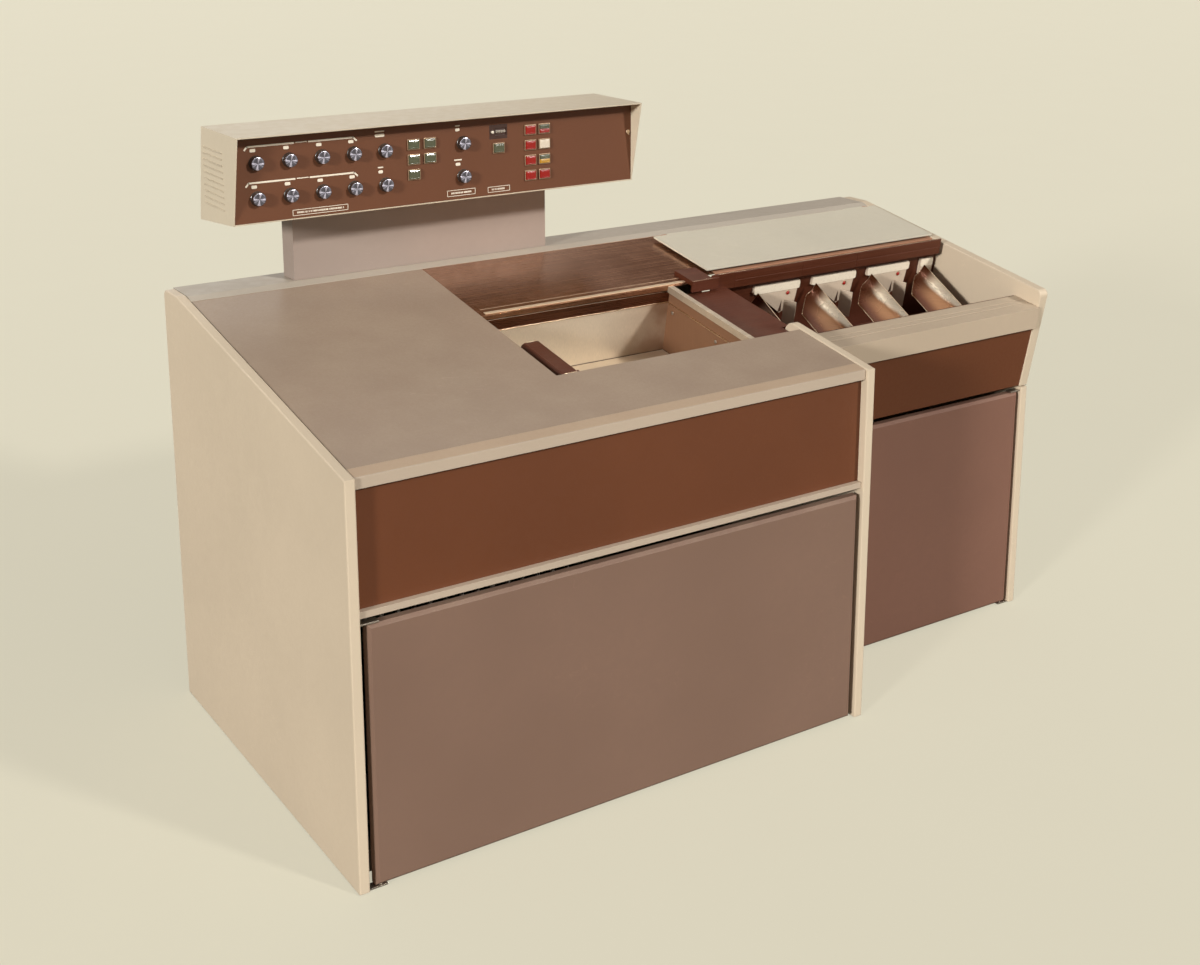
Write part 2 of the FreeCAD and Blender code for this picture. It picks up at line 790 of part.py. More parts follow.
def hopper():
    """The stainless feed well, its side rail and the sliding pusher on its rod."""
    left, right = "well_left - sheet", "well_right + sheet"
    front, back = "well_front - sheet", "well_back + sheet"
    low = "-well_depth - sheet"
    floor = box("well_floor", (left, right), (front, back), (low, "-well_depth"))
    walls = [
        box("well_wall_left", (left, "well_left"), (front, back), (low, "-slab_thickness")),
        box("well_wall_front", (left, right), (front, "well_front"), (low, "-slab_thickness")),
        box("well_wall_right", ("well_right", right), (front, back), (low, "-slab_thickness")),
        box("well_wall_back", (left, right), ("well_back", back), (low, "-slab_thickness")),
        box("well_throat", ("well_left", "well_right"), ("well_back", back),
            ("-slab_thickness", "-back_slot")),
    ]
    place(fuse("hopper_tray", [floor] + walls), in_deck=True)

    inner = "well_right - rail_overhang"
    outer = right + " + sheet"
    along = ("well_front", "plate_lip_line")
    rail = fuse("side_channel", [
        box("channel_top", (inner, outer), along, ("-sheet", "0")),
        box("channel_inner", (inner, inner + " + sheet"), along, ("-rail_inner_drop", "0")),
        box("channel_outer", (right, outer), along, ("-rail_outer_drop", "0")),
    ])
    guide_rod = rod("pusher_rod", "x", ("well_left", "rod_line", "-rod_drop"), "rod_radius",
                    "well_right - well_left")
    place(group("hopper_rails", [rail, guide_rod]), in_deck=True)

    sides = ("pusher_left", "pusher_left + pusher_width")
    height = ("-pusher_top - pusher_height", "-pusher_top")
    bar = plate("pusher_bar", "YZ", [
        ("rod_line + carriage_depth / 2", height[0]),
        ("pusher_back", height[0]),
        ("pusher_back", "-pusher_top - 2 * pusher_chamfer"),
        ("pusher_back - pusher_chamfer", height[1]),
        ("rod_line + carriage_depth / 2", height[1]),
    ], "pusher_left", "pusher_width")
    soften(bar, "Chamfer", "pusher_chamfer / 2", lambda a, b: near(a.x, b.x)
           and near(a.z, value(height[1])) and near(b.z, value(height[1])))
    carriage = box("pusher_carriage", sides, ("rod_line - carriage_depth / 2",
                   "rod_line + carriage_depth / 2"), height)
    bore = rod("pusher_bore", "x", ("pusher_left - 1", "rod_line", "-rod_drop"),
               "rod_radius + rod_fit", "pusher_width + 2")
    place(cut("hopper_pusher", fuse("pusher_block", [bar, carriage]), [bore]), in_deck=True)


def feed_deck():
    """The steel plate behind the well, with its bearing cheeks, and the feed roller under its lip."""
    deck = plate("feed_plate", "XY", [
        ("well_left", "plate_lip_line"),
        ("plate_notch_left", "plate_lip_line"),
        ("plate_notch_left", "cover_front"),
        ("plate_right", "cover_front"),
        ("plate_right", "ledge_line"),
        ("well_left", "ledge_line"),
    ], "-plate_thickness", "plate_thickness")
    lip_span = ("well_left", "well_right + 2 * sheet")
    band = box("plate_band", ("well_left + plate_lip_drop", "plate_notch_left"),
               ("plate_lip_line", "plate_lip_line + plate_band"), ("-sheet", "band_rise"))
    lip = box("plate_lip", lip_span, ("plate_lip_line", "plate_lip_line + sheet"),
              ("-plate_lip_drop", "0"))
    feed_front = "feed_line - cheek_width / 2"
    feed_back = "feed_line + cheek_width / 2"
    cheeks = [
        box("feed_cheek_left", ("feed_left - feed_end_gap", "feed_left - feed_end_gap + beam_wall"),
            (feed_front, feed_back), ("-cheek_drop", "-sheet")),
        box("feed_cheek_right", ("feed_right + feed_end_gap - beam_wall", "feed_right + feed_end_gap"),
            (feed_front, feed_back), ("-cheek_drop", "-sheet")),
    ]
    bore = rod("feed_bore", "x", ("feed_left - 2 * feed_end_gap", "feed_line", "-feed_drop"),
               "feed_shaft + running_fit", "feed_right - feed_left + 4 * feed_end_gap")
    place(cut("feed_deck_plate", fuse("feed_deck_weld", [deck, band, lip] + cheeks), [bore]),
          in_deck=True)

    roll = rod("feed_roll", "x", ("feed_left", "feed_line", "-feed_drop"), "feed_radius",
               "feed_right - feed_left")
    shaft = rod("feed_axle", "x", ("feed_left - feed_end_gap", "feed_line", "-feed_drop"),
                "feed_shaft", "feed_right - feed_left + 2 * feed_end_gap")
    place(fuse("feed_roller", [roll, shaft]), in_deck=True)


def transport():
    """The channel that cards run along, the bed behind it, and its drive wheels."""
    front_wall = box("beam_front_wall", ("beam_left", "beam_right"),
                     ("beam_front", "beam_front + beam_wall"), ("-beam_drop", "beam_rise"))
    floor = box("beam_floor", ("bay_left", "beam_right"), ("beam_front", "beam_back"),
                ("-beam_drop", "beam_wall - beam_drop"))
    back_wall = box("beam_back_wall", ("bay_left", "beam_right"),
                    ("beam_back - beam_wall", "beam_back"), ("-beam_drop", "-plate_thickness"))
    beam = fuse("card_channel", [front_wall, floor, back_wall])
    entry = fuse("entry_guide", [
        box("entry_top", ("entry_left", "beam_left"), ("entry_front", "entry_back"),
            ("band_rise", "entry_rise")),
        box("entry_front_bar", ("entry_left", "entry_right"), ("entry_front", "beam_front"),
            ("-entry_skirt", "entry_rise")),
    ])
    place(group("transport_beam", [beam, entry]), in_deck=True)

    bed = plate("bed_sheet", "XY", rectangle(
        ("plate_right + slab_clear", "right_inner"), ("beam_back", "ledge_line")),
        "-plate_thickness", "plate_thickness")
    window = pocket(bed, "bed_window", "XY", rectangle(
        ("transport_first - bed_window_width / 2", "transport_first + bed_window_width / 2"),
        ("transport_line - bed_window_depth / 2", "transport_line + bed_window_depth / 2")),
        "-plate_thickness - 1", "plate_thickness + 2")
    repeat(bed, window, "X", "chute_count", "transport_pitch")
    cheek_line = ("transport_line - cheek_width / 2", "transport_line + cheek_width / 2")
    axle_right = "right_inner - axle_right_gap"
    cheeks = [
        box("bed_cheek_left", ("axle_left", "axle_left + beam_wall"), cheek_line,
            ("-cheek_drop", "-sheet")),
        box("bed_cheek_right", (axle_right + " - beam_wall", axle_right), cheek_line,
            ("-cheek_drop", "-sheet")),
    ]
    bore = rod("bed_bore", "x", ("axle_left - 1", "transport_line", "transport_axis"),
               "transport_shaft + running_fit", "transport_pitch * chute_count + 2")
    lugs = []
    first = "cover_left + knuckle_inset - knuckle_gap - lug_width"
    last = "right_inner - cover_right_gap - knuckle_inset + knuckle_gap"
    for side, start in (("left", first), ("right", last)):
        lugs.append(box("hinge_foot_" + side, (start, start + " + lug_width"),
                        ("hinge_line - barrel_radius", "hinge_line + barrel_radius"),
                        ("-sheet", "hinge_rise")))
        lugs.append(rod("hinge_lug_" + side, "x", (start, "hinge_line", "hinge_rise"),
                        "barrel_radius", "lug_width"))
    pin = rod("cover_pin", "x", (first, "hinge_line", "hinge_rise"), "hinge_pin",
              "(%s) - (%s) + lug_width" % (last, first))
    bed_weld = cut("bed_drilled", fuse("bed_weld", [bed] + cheeks + lugs), [bore])
    place(fuse("transport_bed", [bed_weld, pin]), in_deck=True)

    shaft = rod("transport_axle", "x", ("axle_left", "transport_line", "transport_axis"),
                "transport_shaft", "transport_pitch * chute_count")
    wheels = [
        rod("transport_wheel_%d" % (index + 1), "x",
            ("transport_first + transport_pitch * %d - transport_width / 2" % index,
             "transport_line", "transport_axis"), "transport_radius", "transport_width")
        for index in range(int(value("chute_count")))
    ]
    place(fuse("transport_roller", [shaft] + wheels), in_deck=True)


def cover():
    """The pale cover over the transport, which lifts on two knuckles at its back."""
    left, right = "cover_left", "right_inner - cover_right_gap"
    sheet = box("cover_sheet", (left, right), ("cover_front", "hinge_line"),
                ("cover_top - cover_thickness", "cover_top"))
    inner = "cover_left + knuckle_inset"
    outer = right + " - knuckle_inset"
    relief_line = ("hinge_line - barrel_radius - 1", "hinge_line + 1")
    reliefs = [
        box("cover_relief_left", ("cover_left - 1", inner), relief_line, ("0", "cover_top + 1")),
        box("cover_relief_right", (outer, right + " + 1"), relief_line, ("0", "cover_top + 1")),
    ]
    knuckles = [
        rod("cover_knuckle_left", "x", (inner, "hinge_line", "hinge_rise"), "barrel_radius",
            "knuckle_length"),
        rod("cover_knuckle_right", "x", (outer + " - knuckle_length", "hinge_line", "hinge_rise"),
            "barrel_radius", "knuckle_length"),
    ]
    middle = box("cover_relief_middle", (inner + " + knuckle_length", outer + " - knuckle_length"),
                 ("hinge_line - hinge_pin - 1", "hinge_line + 1"), ("0", "cover_top + 1"))
    bore = rod("cover_bore", "x", (left, "hinge_line", "hinge_rise"), "hinge_pin + pin_fit",
               "(%s) - (%s)" % (right, left))
    place(cut("transport_cover", fuse("cover_weld", [sheet] + knuckles), reliefs + [middle, bore]),
          in_deck=True)


def pocket_bay():
    """The dark bay that the four pockets stand in, and the plate beside it."""
    low = "-bay_depth - bay_sheet"
    notch = "divider_reach + 2 * pin_radius"
    back = ("bay_back", "bay_back + bay_sheet")
    front = ("bay_front", "bay_front + bay_sheet")
    liner = fuse("bay_tray", [
        box("bay_floor", ("bay_left", "right_inner"), (notch, back[1]), (low, "-bay_depth")),
        box("bay_floor_front", ("main_width", "right_inner"), (front[0], back[1]),
            (low, "-bay_depth")),
        box("bay_wall_front", ("main_width", "right_inner"), front, (low, "-lip_drop - sheet")),
        box("bay_wall_left", ("bay_left", "bay_left + bay_sheet"), (notch, back[1]),
            (low, "-beam_drop")),
        box("bay_wall_back", ("bay_left", "right_inner"), back, (low, "-beam_drop")),
    ])
    side = plate("bay_side_plate", "XY", [
        ("well_right + 2 * sheet", "well_front"),
        ("divider_left - slab_clear", "well_front"),
        ("divider_left - slab_clear", notch),
        ("bay_left + bay_sheet", notch),
        ("bay_left + bay_sheet", "beam_front"),
        ("well_right + 2 * sheet", "beam_front"),
    ], "-beam_drop", "bay_sheet")
    place(group("pocket_bay", [liner, side]), in_deck=True)


def chutes():
    """Four curved stainless chutes, each a quarter of a pipe that leans forward."""
    swing = "chute_radius * sin(45)"
    pieces = []
    for index in range(int(value("chute_count"))):
        name = "chute_%d" % (index + 1)
        outer = doc.addObject("Part::Cylinder", name + "_outer")
        bind(outer, "Radius", "chute_radius")
        bind(outer, "Height", "chute_length")
        bind(outer, "Angle", "chute_sweep")
        outer.Placement = Placement(Vector(), Rotation(Vector(0, 0, 1), -value("chute_sweep")))
        outer.setExpression("Placement.Rotation.Angle", formula("-chute_sweep"))
        inner = rod(name + "_inner", "z", ("0", "0", "-1"), "chute_radius - chute_sheet",
                    "chute_length + 2")
        rim = plate(name + "_rim", "XZ", [
            (swing, "-1"),
            (swing, "0"),
            ("-chute_radius / 4", "rim_swing * (1 + sin(45) / 4)"),
            ("-chute_radius / 4", "-1"),
        ], "-chute_radius - 1", "2 * chute_radius")
        shell = cut(name + "_shell", outer, [inner, rim])
        shell.Placement = Placement(Vector(), Rotation(Vector(1, 0, 0), 90 + value("chute_tilt")))
        bind(shell, "Placement.Rotation.Angle", "90 + chute_tilt")
        middle = "chute_first + %d * chute_pitch - chute_radius" % index
        bind(shell, "Placement.Base.x", middle)
        bind(shell, "Placement.Base.y", "chute_line")
        bind(shell, "Placement.Base.z", "-chute_drop")
        along = "chute_line + chute_radius * sin(chute_tilt) - (%s) * cos(chute_tilt)"
        down = "-chute_drop - (chute_radius - chute_sheet / 2) * cos(chute_tilt) - (%s) * sin(chute_tilt)"
        near_end = "chute_length - chute_foot"
        foot = plate(name + "_foot", "YZ", [
            (along % "chute_length", "-bay_depth"),
            (along % near_end, "-bay_depth"),
            (along % near_end, down % near_end),
            (along % "chute_length", down % "chute_length"),
        ], middle + " - sheet / 2", "sheet")
        pieces.append(fuse(name, [shell, foot]))
    place(group("pocket_chutes", pieces), in_deck=True)


def guides():
    """The white card guides between the chutes, and a short one at each end of the row."""
    depth = ("bay_back - guide_bar_depth", "bay_back")
    pieces = []
    for index in range(int(value("chute_count")) - 1):
        name = "guide_%d" % (index + 1)
        left = "guide_first + %d * chute_pitch" % index
        bar = box(name + "_bar", (left, left + " + guide_width"), depth,
                  ("-guide_top - guide_bar", "-guide_top"))
        sheet = plate(name + "_sheet", "XZ", [
            (left + " + guide_bar / 2", "-guide_top - guide_bar"),
            (left + " + guide_width - guide_bar / 4", "-guide_top - guide_bar"),
            (left + " + guide_width - guide_bar / 2", "-guide_side_drop"),
            (left + " + guide_point", "-guide_point_drop"),
        ], depth[0], "guide_sheet")
        wing = box(name + "_wing", ("0", "wing_width"), ("0", "guide_sheet"),
                   ("-wing_height", "guide_sheet"))
        wing.Placement = Placement(Vector(), Rotation(Vector(0, 0, 1), -value("wing_angle")))
        bind(wing, "Placement.Rotation.Angle", "-wing_angle")
        bind(wing, "Placement.Base.x", left + " + guide_width - wing_width - guide_bar / 2")
        bind(wing, "Placement.Base.y", depth[0])
        bind(wing, "Placement.Base.z", "-wing_drop")
        pieces.append(fuse(name, [bar, sheet, wing]))
    last = "guide_first + (chute_count - 1) * chute_pitch"
    pieces += [
        box("left_end_guide", ("end_guide_left", "end_guide_left + end_guide_width"), depth,
            ("-guide_top - end_guide_height", "-guide_top")),
        box("right_end_guide", (last, "beam_right"), depth,
            ("-guide_top - 2 * guide_bar", "-guide_top")),
    ]
    place(group("pocket_guides", pieces), in_deck=True)


def console_shell():
    """The pedestal, and the long hooded housing that leans forward over it."""
    under = "console_bottom - underside_fall * (%s - console_front)"
    back = "pedestal_front + pedestal_depth"
    column = plate("pedestal", "YZ", [
        ("pedestal_front", "knee_height"),
        (back, "knee_height"),
        (back, under % ("(%s)" % back)),
        ("pedestal_front", under % "pedestal_front"),
    ], "pedestal_left", "pedestal_width")
    pocket(column, "pedestal_hollow", "XY", rectangle(
        ("pedestal_left + pedestal_wall", "pedestal_left + pedestal_width - pedestal_wall"),
        ("pedestal_front + pedestal_wall", back + " - pedestal_wall")),
        "knee_height - 1", "console_bottom - knee_height")
    place(column)

    hood = "console_front - hood_reach"
    housing = plate("console_housing", "YZ", [
        ("console_front", "console_bottom"),
        ("console_back_bottom", "console_bottom - console_fall"),
        ("console_back_top", "console_top"),
        (hood, "console_top"),
    ], "console_left", "console_width")
    soften(housing, "Fillet", "edge_round", lambda a, b: near(a.y, b.y) and near(a.z, b.z)
           and max(a.y, b.y) > value("console_front") + 1 or near(a.x, b.x)
           and min(a.y, b.y) > value("console_front") + 1)
    opening = hood + " - edge_round"
    pocket(housing, "console_hollow", "YZ", [
        (opening, under % "console_front" + " + console_wall"),
        ("console_front", under % "console_front" + " + console_wall"),
        ("console_back_bottom - console_wall", "console_bottom - console_fall + console_wall"),
        ("console_back_top - console_wall", "console_top - console_wall"),
        (opening, "console_top - console_wall"),
    ], "console_inner", "console_inner_width")
    slot = pocket(housing, "console_louvre", "YZ", rectangle(
        ("louvre_front", "louvre_front + louvre_length"),
        ("louvre_first", "louvre_first + louvre_height")), "console_left - 1", "console_width + 2")
    repeat(housing, slot, "Z", "louvre_count", "louvre_pitch")
    place(housing)


def button_places():
    """Every push button's name and the middle of its bezel on the console's face."""
    places = {}
    for index in range(5):
        column, row = index % 2, index // 2
        places["green_button_%d" % (index + 1)] = (
            "green_first + %d * green_pitch" % column, "green_top - %d * green_row" % row)
    places["start_button"] = ("start_place", "start_height")
    for column, side in enumerate(("left", "right")):
        for row in range(4):
            places["%s_button_%d" % (side, row + 1)] = (
                "group_first + %d * group_pitch" % column, "group_top - %d * group_row" % row)
    return places


def knob_places():
    """Every rotary knob's name and the middle of its shaft on the console's face."""
    places = {}
    for row, level in enumerate(("upper", "lower")):
        height = "knob_high - %d * knob_row_drop" % row
        for column in range(5):
            places["%s_knob_%d" % (level, column + 1)] = (
                "knob_first + %d * knob_pitch" % column, height)
        places["%s_rate_knob" % level] = ("rate_knob_place", height)
    return places


def console_face():
    """The flat front of the console with its bezels, bored for shafts, buttons and the counter."""
    front = "console_front"
    back = front + " + face_thickness"
    sheet = box("face_sheet", ("console_inner", "console_inner + console_inner_width"),
                (front, back), ("console_bottom + console_wall", "console_top - console_wall"))
    bezels = []
    holes = []
    for name, (x, z) in button_places().items():
        wide = "bezel_width / 2"
        tall = "bezel_height / 2"
        bezels.append(box(name + "_bezel", ("%s - %s" % (x, wide), "%s + %s" % (x, wide)),
                          (front + " - bezel_proud", back),
                          ("%s - %s" % (z, tall), "%s + %s" % (z, tall))))
        wide = "(bezel_width / 2 - bezel_wall)"
        tall = "(bezel_height / 2 - bezel_wall)"
        holes.append(box(name + "_hole", ("%s - %s" % (x, wide), "%s + %s" % (x, wide)),
                         (front + " - bezel_proud - 1", back + " + 1"),
                         ("%s - %s" % (z, tall), "%s + %s" % (z, tall))))
    for name, (x, z) in knob_places().items():
        holes.append(rod(name + "_hole", "y", (x, front + " - 1", z),
                         "shaft_radius + running_fit", "face_thickness + 2"))
    holes.append(box("counter_hole", ("counter_left", "counter_left + counter_width"),
                     (front + " - 1", back + " + 1"),
                     ("counter_bottom", "counter_bottom + counter_height")))
    place(cut("console_face", fuse("face_weld", [sheet] + bezels), holes))


def controls():
    """Twelve spun-metal knobs, fourteen push buttons, and the counter with its reset."""
    skirt = "skirt_radius - (skirt_radius - cap_radius) / 2"
    profile = [
        ("0", "-shaft_length"),
        ("shaft_radius", "-shaft_length"),
        ("shaft_radius", "knob_float"),
        ("skirt_radius", "knob_float"),
        ("skirt_radius", "skirt_height"),
        (skirt, "skirt_height + skirt_slope"),
        ("cap_radius", "skirt_height + skirt_slope"),
        ("cap_radius", "knob_height - cap_chamfer"),
        ("cap_radius - cap_chamfer", "knob_height"),
        ("0", "knob_height"),
    ]
    for name, (x, z) in knob_places().items():
        knob = doc.addObject("PartDesign::Body", name)
        sketch = polygon(knob, name + "_outline", "XZ", profile, "0")
        turned = knob.newObject("PartDesign::Revolution", name + "_turned")
        turned.Profile = sketch
        turned.ReferenceAxis = (sketch, ["V_Axis"])
        knob.Placement = Placement(Vector(), Rotation(Vector(1, 0, 0), 90))
        place(knob, x=x, y="console_front", z=z)

    for name, (x, z) in button_places().items():
        wide = "button_width / 2"
        tall = "button_height / 2"
        button = plate(name, "XZ", rectangle(("-" + wide, wide), ("-" + tall, tall)),
                       "-button_proud", "button_proud + button_inside")
        soften(button, "Fillet", "button_round", lambda a, b: near(a.y, b.y)
               and near(a.y, -value("button_proud")))
        place(button, x=x, y="console_front", z=z)

    left, low = "counter_left", "counter_bottom"
    right, high = "counter_left + counter_width", "counter_bottom + counter_height"
    block = box("counter_block", (left, right), ("console_front", "console_front + counter_inside"),
                (low, high))
    window = box("counter_window", (left + " + 2 * reset_inset", right + " - counter_rim"),
                 ("console_front - 1", "console_front + counter_recess"),
                 (low + " + 3 * counter_rim", high + " - 3 * counter_rim"))
    reset_x, reset_z = left + " + reset_inset", "counter_bottom + counter_height / 2"
    bore = rod("reset_bore", "y", (reset_x, "console_front - 1", reset_z),
               "reset_radius + running_fit", "reset_inside + 3")
    place(cut("counter_module", block, [window, bore]))
    reset = doc.addObject("Part::Cylinder", "reset_pin")
    reset.Placement = Placement(Vector(), TURNS["y"])
    bind(reset, "Radius", "reset_radius")
    bind(reset, "Height", "reset_proud + reset_inside")
    place(group("counter_reset", [reset]), x=reset_x, y="console_front - reset_proud", z=reset_z)


def machinery():
    """The drive motor in the right cabinet, and the electronics in the main one."""
    line, height = "motor_line", "cabinet_floor + motor_rise"
    left = "motor_left"
    right = "motor_left + motor_length"
    body = rod("motor_case", "x", (left, line, height), "motor_radius", "motor_length")
    shaft = rod("motor_axle", "x", (right, line, height), "motor_shaft", "motor_shaft_length")
    pulley = rod("motor_pulley", "x", (right + " + motor_shaft_length - pulley_width", line, height),
                 "pulley_radius", "pulley_width")
    foot = box("motor_foot", (left + " + motor_shaft", right + " - motor_shaft"),
               (line + " - motor_foot_width / 2", line + " + motor_foot_width / 2"),
               ("cabinet_floor", "cabinet_floor + 2 * rack_sheet"))
    web = box("motor_web", (left + " + 2 * motor_shaft", right + " - 2 * motor_shaft"),
              (line + " - motor_radius / 2", line + " + motor_radius / 2"),
              ("cabinet_floor", height))
    place(fuse("drive_motor", [body, shaft, pulley, foot, web]))

    sides = ("rack_left", "rack_left + rack_width")
    deep = ("rack_front", "rack_front + rack_depth")
    top = "cabinet_floor + rack_height"
    shelves = [
        box("rack_base", sides, deep, ("cabinet_floor", "cabinet_floor + rack_sheet")),
        box("rack_top", sides, deep, (top + " - rack_sheet", top)),
        box("rack_left_end", (sides[0], sides[0] + " + rack_sheet"), deep, ("cabinet_floor", top)),
        box("rack_right_end", (sides[1] + " - rack_sheet", sides[1]), deep, ("cabinet_floor", top)),
    ]
    spacing = "rack_width / (board_count + 1)"
    boards = [
        box("rack_board_%d" % (index + 1),
            ("rack_left + %s * %d" % (spacing, index + 1),
             "rack_left + %s * %d + board_thickness" % (spacing, index + 1)),
            (deep[0] + " + board_inset", deep[1] + " - board_inset"),
            ("cabinet_floor + rack_sheet / 2", top + " - rack_sheet / 2"))
        for index in range(int(value("board_count")))
    ]
    rack = fuse("card_rack", shelves + boards)
    supply = box("power_supply", ("supply_left", "supply_left + supply_width"), deep,
                 ("cabinet_floor", "cabinet_floor + supply_height"))
    place(group("electronics", [rack, supply]))


def build():
    """Make every piece in turn."""
    side_panels()
    right_panels()
    base()
    rear_panels()
    doors()
    front_trims()
    front_lip()
    deck_top()
    hopper()
    feed_deck()
    transport()
    cover()
    pocket_bay()
    chutes()
    guides()
    console_shell()
    console_face()
    controls()
    machinery()


build()
doc.recompute()

for item in doc.Objects:
    if "Invalid" in item.State or "Error" in item.State:
        raise ValueError("%s could not be made" % item.Name)
for node in nodes:
    if node.Shape.isNull() or not node.Shape.isValid() or not node.Shape.Solids:
        raise ValueError("%s has no sound solid" % node.Label)

os.makedirs("parts", exist_ok=True)
for node in nodes:
    node.Shape.exportStep("parts/%s.step" % node.Label)
print("%d pieces written" % len(nodes))
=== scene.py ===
"""The visible finish of a free-standing card sorter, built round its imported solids.

Sizes inside the file are bench millimetres: X to the right from the left side panel, Y to the back
from the front edge, Z up from the floor. deck() takes points on the leaning work deck instead.
"""
import functools
import json
import math
import random

import bmesh
import bpy
from mathutils import Matrix, Vector


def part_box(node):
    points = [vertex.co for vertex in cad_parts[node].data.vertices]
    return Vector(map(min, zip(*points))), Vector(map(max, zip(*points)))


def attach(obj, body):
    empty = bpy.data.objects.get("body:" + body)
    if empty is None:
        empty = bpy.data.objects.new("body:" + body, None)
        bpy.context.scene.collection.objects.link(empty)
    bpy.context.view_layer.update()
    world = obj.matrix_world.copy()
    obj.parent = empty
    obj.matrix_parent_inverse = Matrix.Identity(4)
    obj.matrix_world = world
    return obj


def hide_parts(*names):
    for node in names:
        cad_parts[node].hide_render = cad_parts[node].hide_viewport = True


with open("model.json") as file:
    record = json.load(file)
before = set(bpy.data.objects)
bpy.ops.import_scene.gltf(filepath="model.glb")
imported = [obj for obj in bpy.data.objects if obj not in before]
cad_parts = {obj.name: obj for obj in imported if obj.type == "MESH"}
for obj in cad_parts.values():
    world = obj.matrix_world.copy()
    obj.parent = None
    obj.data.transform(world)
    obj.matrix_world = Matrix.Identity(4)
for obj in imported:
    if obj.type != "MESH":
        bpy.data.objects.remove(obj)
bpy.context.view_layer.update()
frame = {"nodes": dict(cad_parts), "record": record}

bl_info = {
    "name": "Card Sorter",
    "version": (1, 0, 0),
    "blender": (4, 5, 0),
    "location": "View3D > Sidebar > Card Sorter",
    "description": "Builds the finish, the controls and the studio of a free-standing card sorter",
    "category": "Object",
}

HALF_WIDTH = 913.5
HALF_DEPTH = 433
DECK_HEIGHT = 755
DECK_SLOPE = math.radians(9.8)
FACE = 656
WELL_FLOOR = (-154, -153.2)
CHUTE_RADIUS = 48
CHUTE_SWEEP = 97
CHUTE_TILT = math.radians(19.6)
CHUTE_FOOT = 235
CHUTE_MIDDLES = [1233 - CHUTE_RADIUS + 170.2 * index for index in range(4)]
RIM_SWING = 44
GUIDE_EDGES = (1235, 1405.2, 1575.4)
KNOB_ROWS = (("upper", 1169.6), ("lower", 1100))
KNOB_LEFT, KNOB_PITCH, RATE_KNOB = 128.5, 68.2, 579
PRINT_DROP = 71
PRINT_SUNK = 0.05
LENS_WIDE, LENS_TALL = 23.8, 17.8
COUNTER_Z = 1186
REAR_BAYS = ((20, 1123), (1123, 1801))
BOARDS = [140 + 520 / 15 * (index + 1) for index in range(14)]
TO_FRONT, TO_BACK = Vector((0, -1, 0)), Vector((0, 1, 0))
TO_RIGHT, UP = Vector((1, 0, 0)), Vector((0, 0, 1))


# Places

def bench(x, y, z):
    """A point of the bench frame, in millimetres, as a place in the scene."""
    return Vector(((x - HALF_WIDTH) / 1000, (y - HALF_DEPTH) / 1000, z / 1000))


def deck(x, v, w):
    """A point v along the leaning deck from its front edge and w above it."""
    lean, rise = math.cos(DECK_SLOPE), math.sin(DECK_SLOPE)
    return bench(x, v * lean - w * rise, DECK_HEIGHT + v * rise + w * lean)


def bench_front(x, z, y):
    """A bench point with its depth last, for outlines that are seen from the front."""
    return bench(x, y, z)


def deck_front(x, w, v):
    """A deck point with its depth last, for outlines that are seen from the front."""
    return deck(x, v, w)


def tone(red, green, blue):
    """A colour given in display values from 0 to 255, as linear light."""
    def linear(part):
        part /= 255
        return part / 12.92 if part <= 0.04045 else ((part + 0.055) / 1.055) ** 2.4
    return (linear(red), linear(green), linear(blue), 1.0)


def shade(base, factor):
    return tuple(min(1.0, part * factor) for part in base[:3]) + (1.0,)


# User settings

def colour(name, text, default):
    return bpy.props.FloatVectorProperty(
        name=name, description=text, subtype="COLOR", size=4, min=0, max=1, default=default)


def amount(name, text, default, least=0, **more):
    return bpy.props.FloatProperty(
        name=name, description=text, default=default, min=least, **more)


def length(name, text, millimetres):
    return amount(name, text, millimetres / 1000, subtype="DISTANCE", unit="LENGTH", precision=5)


class SorterFinish(bpy.types.PropertyGroup):
    cream: colour("Side panels", "Paint of the side panels", tone(209, 192, 169))
    trim: colour("Edging", "Front edging and rails", tone(184, 167, 149))
    band: colour("Deck band", "Laminate band along the deck's front", tone(182, 158, 135))
    # The deck band's tone is painted shade: the edging's top shown darker than its front.
    ledge: colour("Rear ledge", "Paint of the rear ledge", tone(180, 170, 157))
    lip: colour("Right lip", "Paint of the right front lip", tone(188, 170, 149))
    slab: colour("Work top", "Grey-brown laminate of the work top", tone(159, 139, 122))
    door: colour("Main door", "Paint of the main door", tone(126, 100, 86))
    side_door: colour("Right door", "Paint of the right door", tone(127, 92, 78))
    fascia: colour("Fascia", "Brown laminate of the fascias", tone(101, 58, 35))
    cover: colour("Cover", "Paint of the card cover", tone(208, 201, 184))
    console: colour("Console", "Paint of the console housing", tone(209, 196, 174))
    face: colour("Console face", "Paint of the console's face", tone(103, 64, 43))
    pedestal: colour("Pedestal", "Paint of the pedestal", tone(158, 143, 134))
    guide: colour("Card guides", "White plastic of the card guides", tone(206, 188, 168))
    steel: colour("Stainless", "Stainless sheet of the well and chutes", tone(208, 193, 172))
    deck_steel: colour("Dark steel", "Dark brushed sheet of the feed deck", tone(168, 126, 98))
    channel: colour("Brown metal", "Anodised metal of the card channel", tone(88, 42, 22))
    ink: colour("Print", "Ink on the console's face", tone(236, 226, 208))
    red: colour("Red lens", "Red buttons and lamps", tone(150, 20, 12))
    green: colour("Green lens", "Green buttons", tone(84, 86, 66))
    yellow: colour("Yellow lens", "Yellow button", tone(190, 140, 36))
    white: colour("White lens", "White button", tone(222, 208, 188))


